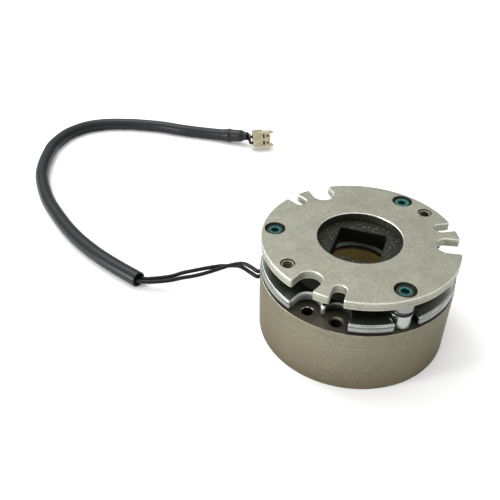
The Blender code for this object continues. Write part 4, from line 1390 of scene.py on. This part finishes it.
class BRAKE_OT_yoke(Operator):
    """Builds the stator yoke"""

    bl_idname = "brake.yoke"
    bl_label = "Stator yoke"

    def execute(self, context):
        build_yoke(context.scene.brake_yoke)
        return {"FINISHED"}


class BRAKE_OT_coil(Operator):
    """Finishes the coil's pieces"""

    bl_idname = "brake.coil"
    bl_label = "Coil"

    def execute(self, context):
        build_coil(context.scene.brake_coil)
        return {"FINISHED"}


class BRAKE_OT_springs(Operator):
    """Builds the torque springs in their pockets"""

    bl_idname = "brake.springs"
    bl_label = "Torque springs"

    def execute(self, context):
        build_springs(context.scene.brake_hardware)
        return {"FINISHED"}


class BRAKE_OT_spacers(Operator):
    """Builds the three spacers"""

    bl_idname = "brake.spacers"
    bl_label = "Spacers"

    def execute(self, context):
        build_spacers(context.scene.brake_hardware)
        return {"FINISHED"}


class BRAKE_OT_screws(Operator):
    """Builds the three spacer screws"""

    bl_idname = "brake.screws"
    bl_label = "Spacer screws"

    def execute(self, context):
        build_screws(context.scene.brake_hardware)
        return {"FINISHED"}


SETTINGS = {
    "brake_stage": StageSettings,
    "brake_connector": ConnectorSettings,
    "brake_cable": CableSettings,
    "brake_plate": PlateSettings,
    "brake_armature": ArmatureSettings,
    "brake_rotor": RotorSettings,
    "brake_yoke": YokeSettings,
    "brake_coil": CoilSettings,
    "brake_hardware": HardwareSettings,
}

OPERATORS = (
    BRAKE_OT_stage,
    BRAKE_OT_connector,
    BRAKE_OT_cable,
    BRAKE_OT_bush,
    BRAKE_OT_side_plate,
    BRAKE_OT_armature,
    BRAKE_OT_rotor,
    BRAKE_OT_yoke,
    BRAKE_OT_coil,
    BRAKE_OT_springs,
    BRAKE_OT_spacers,
    BRAKE_OT_screws,
)


class BRAKE_PT_pieces(Panel):
    """Lists the brake's settings and pieces"""

    bl_idname = "BRAKE_PT_pieces"
    bl_label = "Spring applied brake"
    bl_space_type = "VIEW_3D"
    bl_region_type = "UI"
    bl_category = "Brake"

    def draw(self, context):
        for name, group in SETTINGS.items():
            box = self.layout.box()
            box.label(text=name.removeprefix("brake_").capitalize())
            for setting in group.__annotations__:
                box.prop(getattr(context.scene, name), setting)
        for operator in OPERATORS:
            self.layout.operator(operator.bl_idname)


CLASSES = (*SETTINGS.values(), *OPERATORS, BRAKE_PT_pieces)


def register():
    for each in CLASSES:
        bpy.utils.register_class(each)
    for name, group in SETTINGS.items():
        setattr(bpy.types.Scene, name, PointerProperty(type=group))


def unregister():
    for name in SETTINGS:
        delattr(bpy.types.Scene, name)
    for each in reversed(CLASSES):
        bpy.utils.unregister_class(each)


def main():
    register()
    bpy.ops.brake.stage()
    bpy.ops.brake.connector()
    bpy.ops.brake.cable()
    bpy.ops.brake.bush()
    bpy.ops.brake.side_plate()
    bpy.ops.brake.armature()
    bpy.ops.brake.rotor()
    bpy.ops.brake.yoke()
    bpy.ops.brake.coil()
    bpy.ops.brake.springs()
    bpy.ops.brake.spacers()
    bpy.ops.brake.screws()


if __name__ == "__main__":
    main()
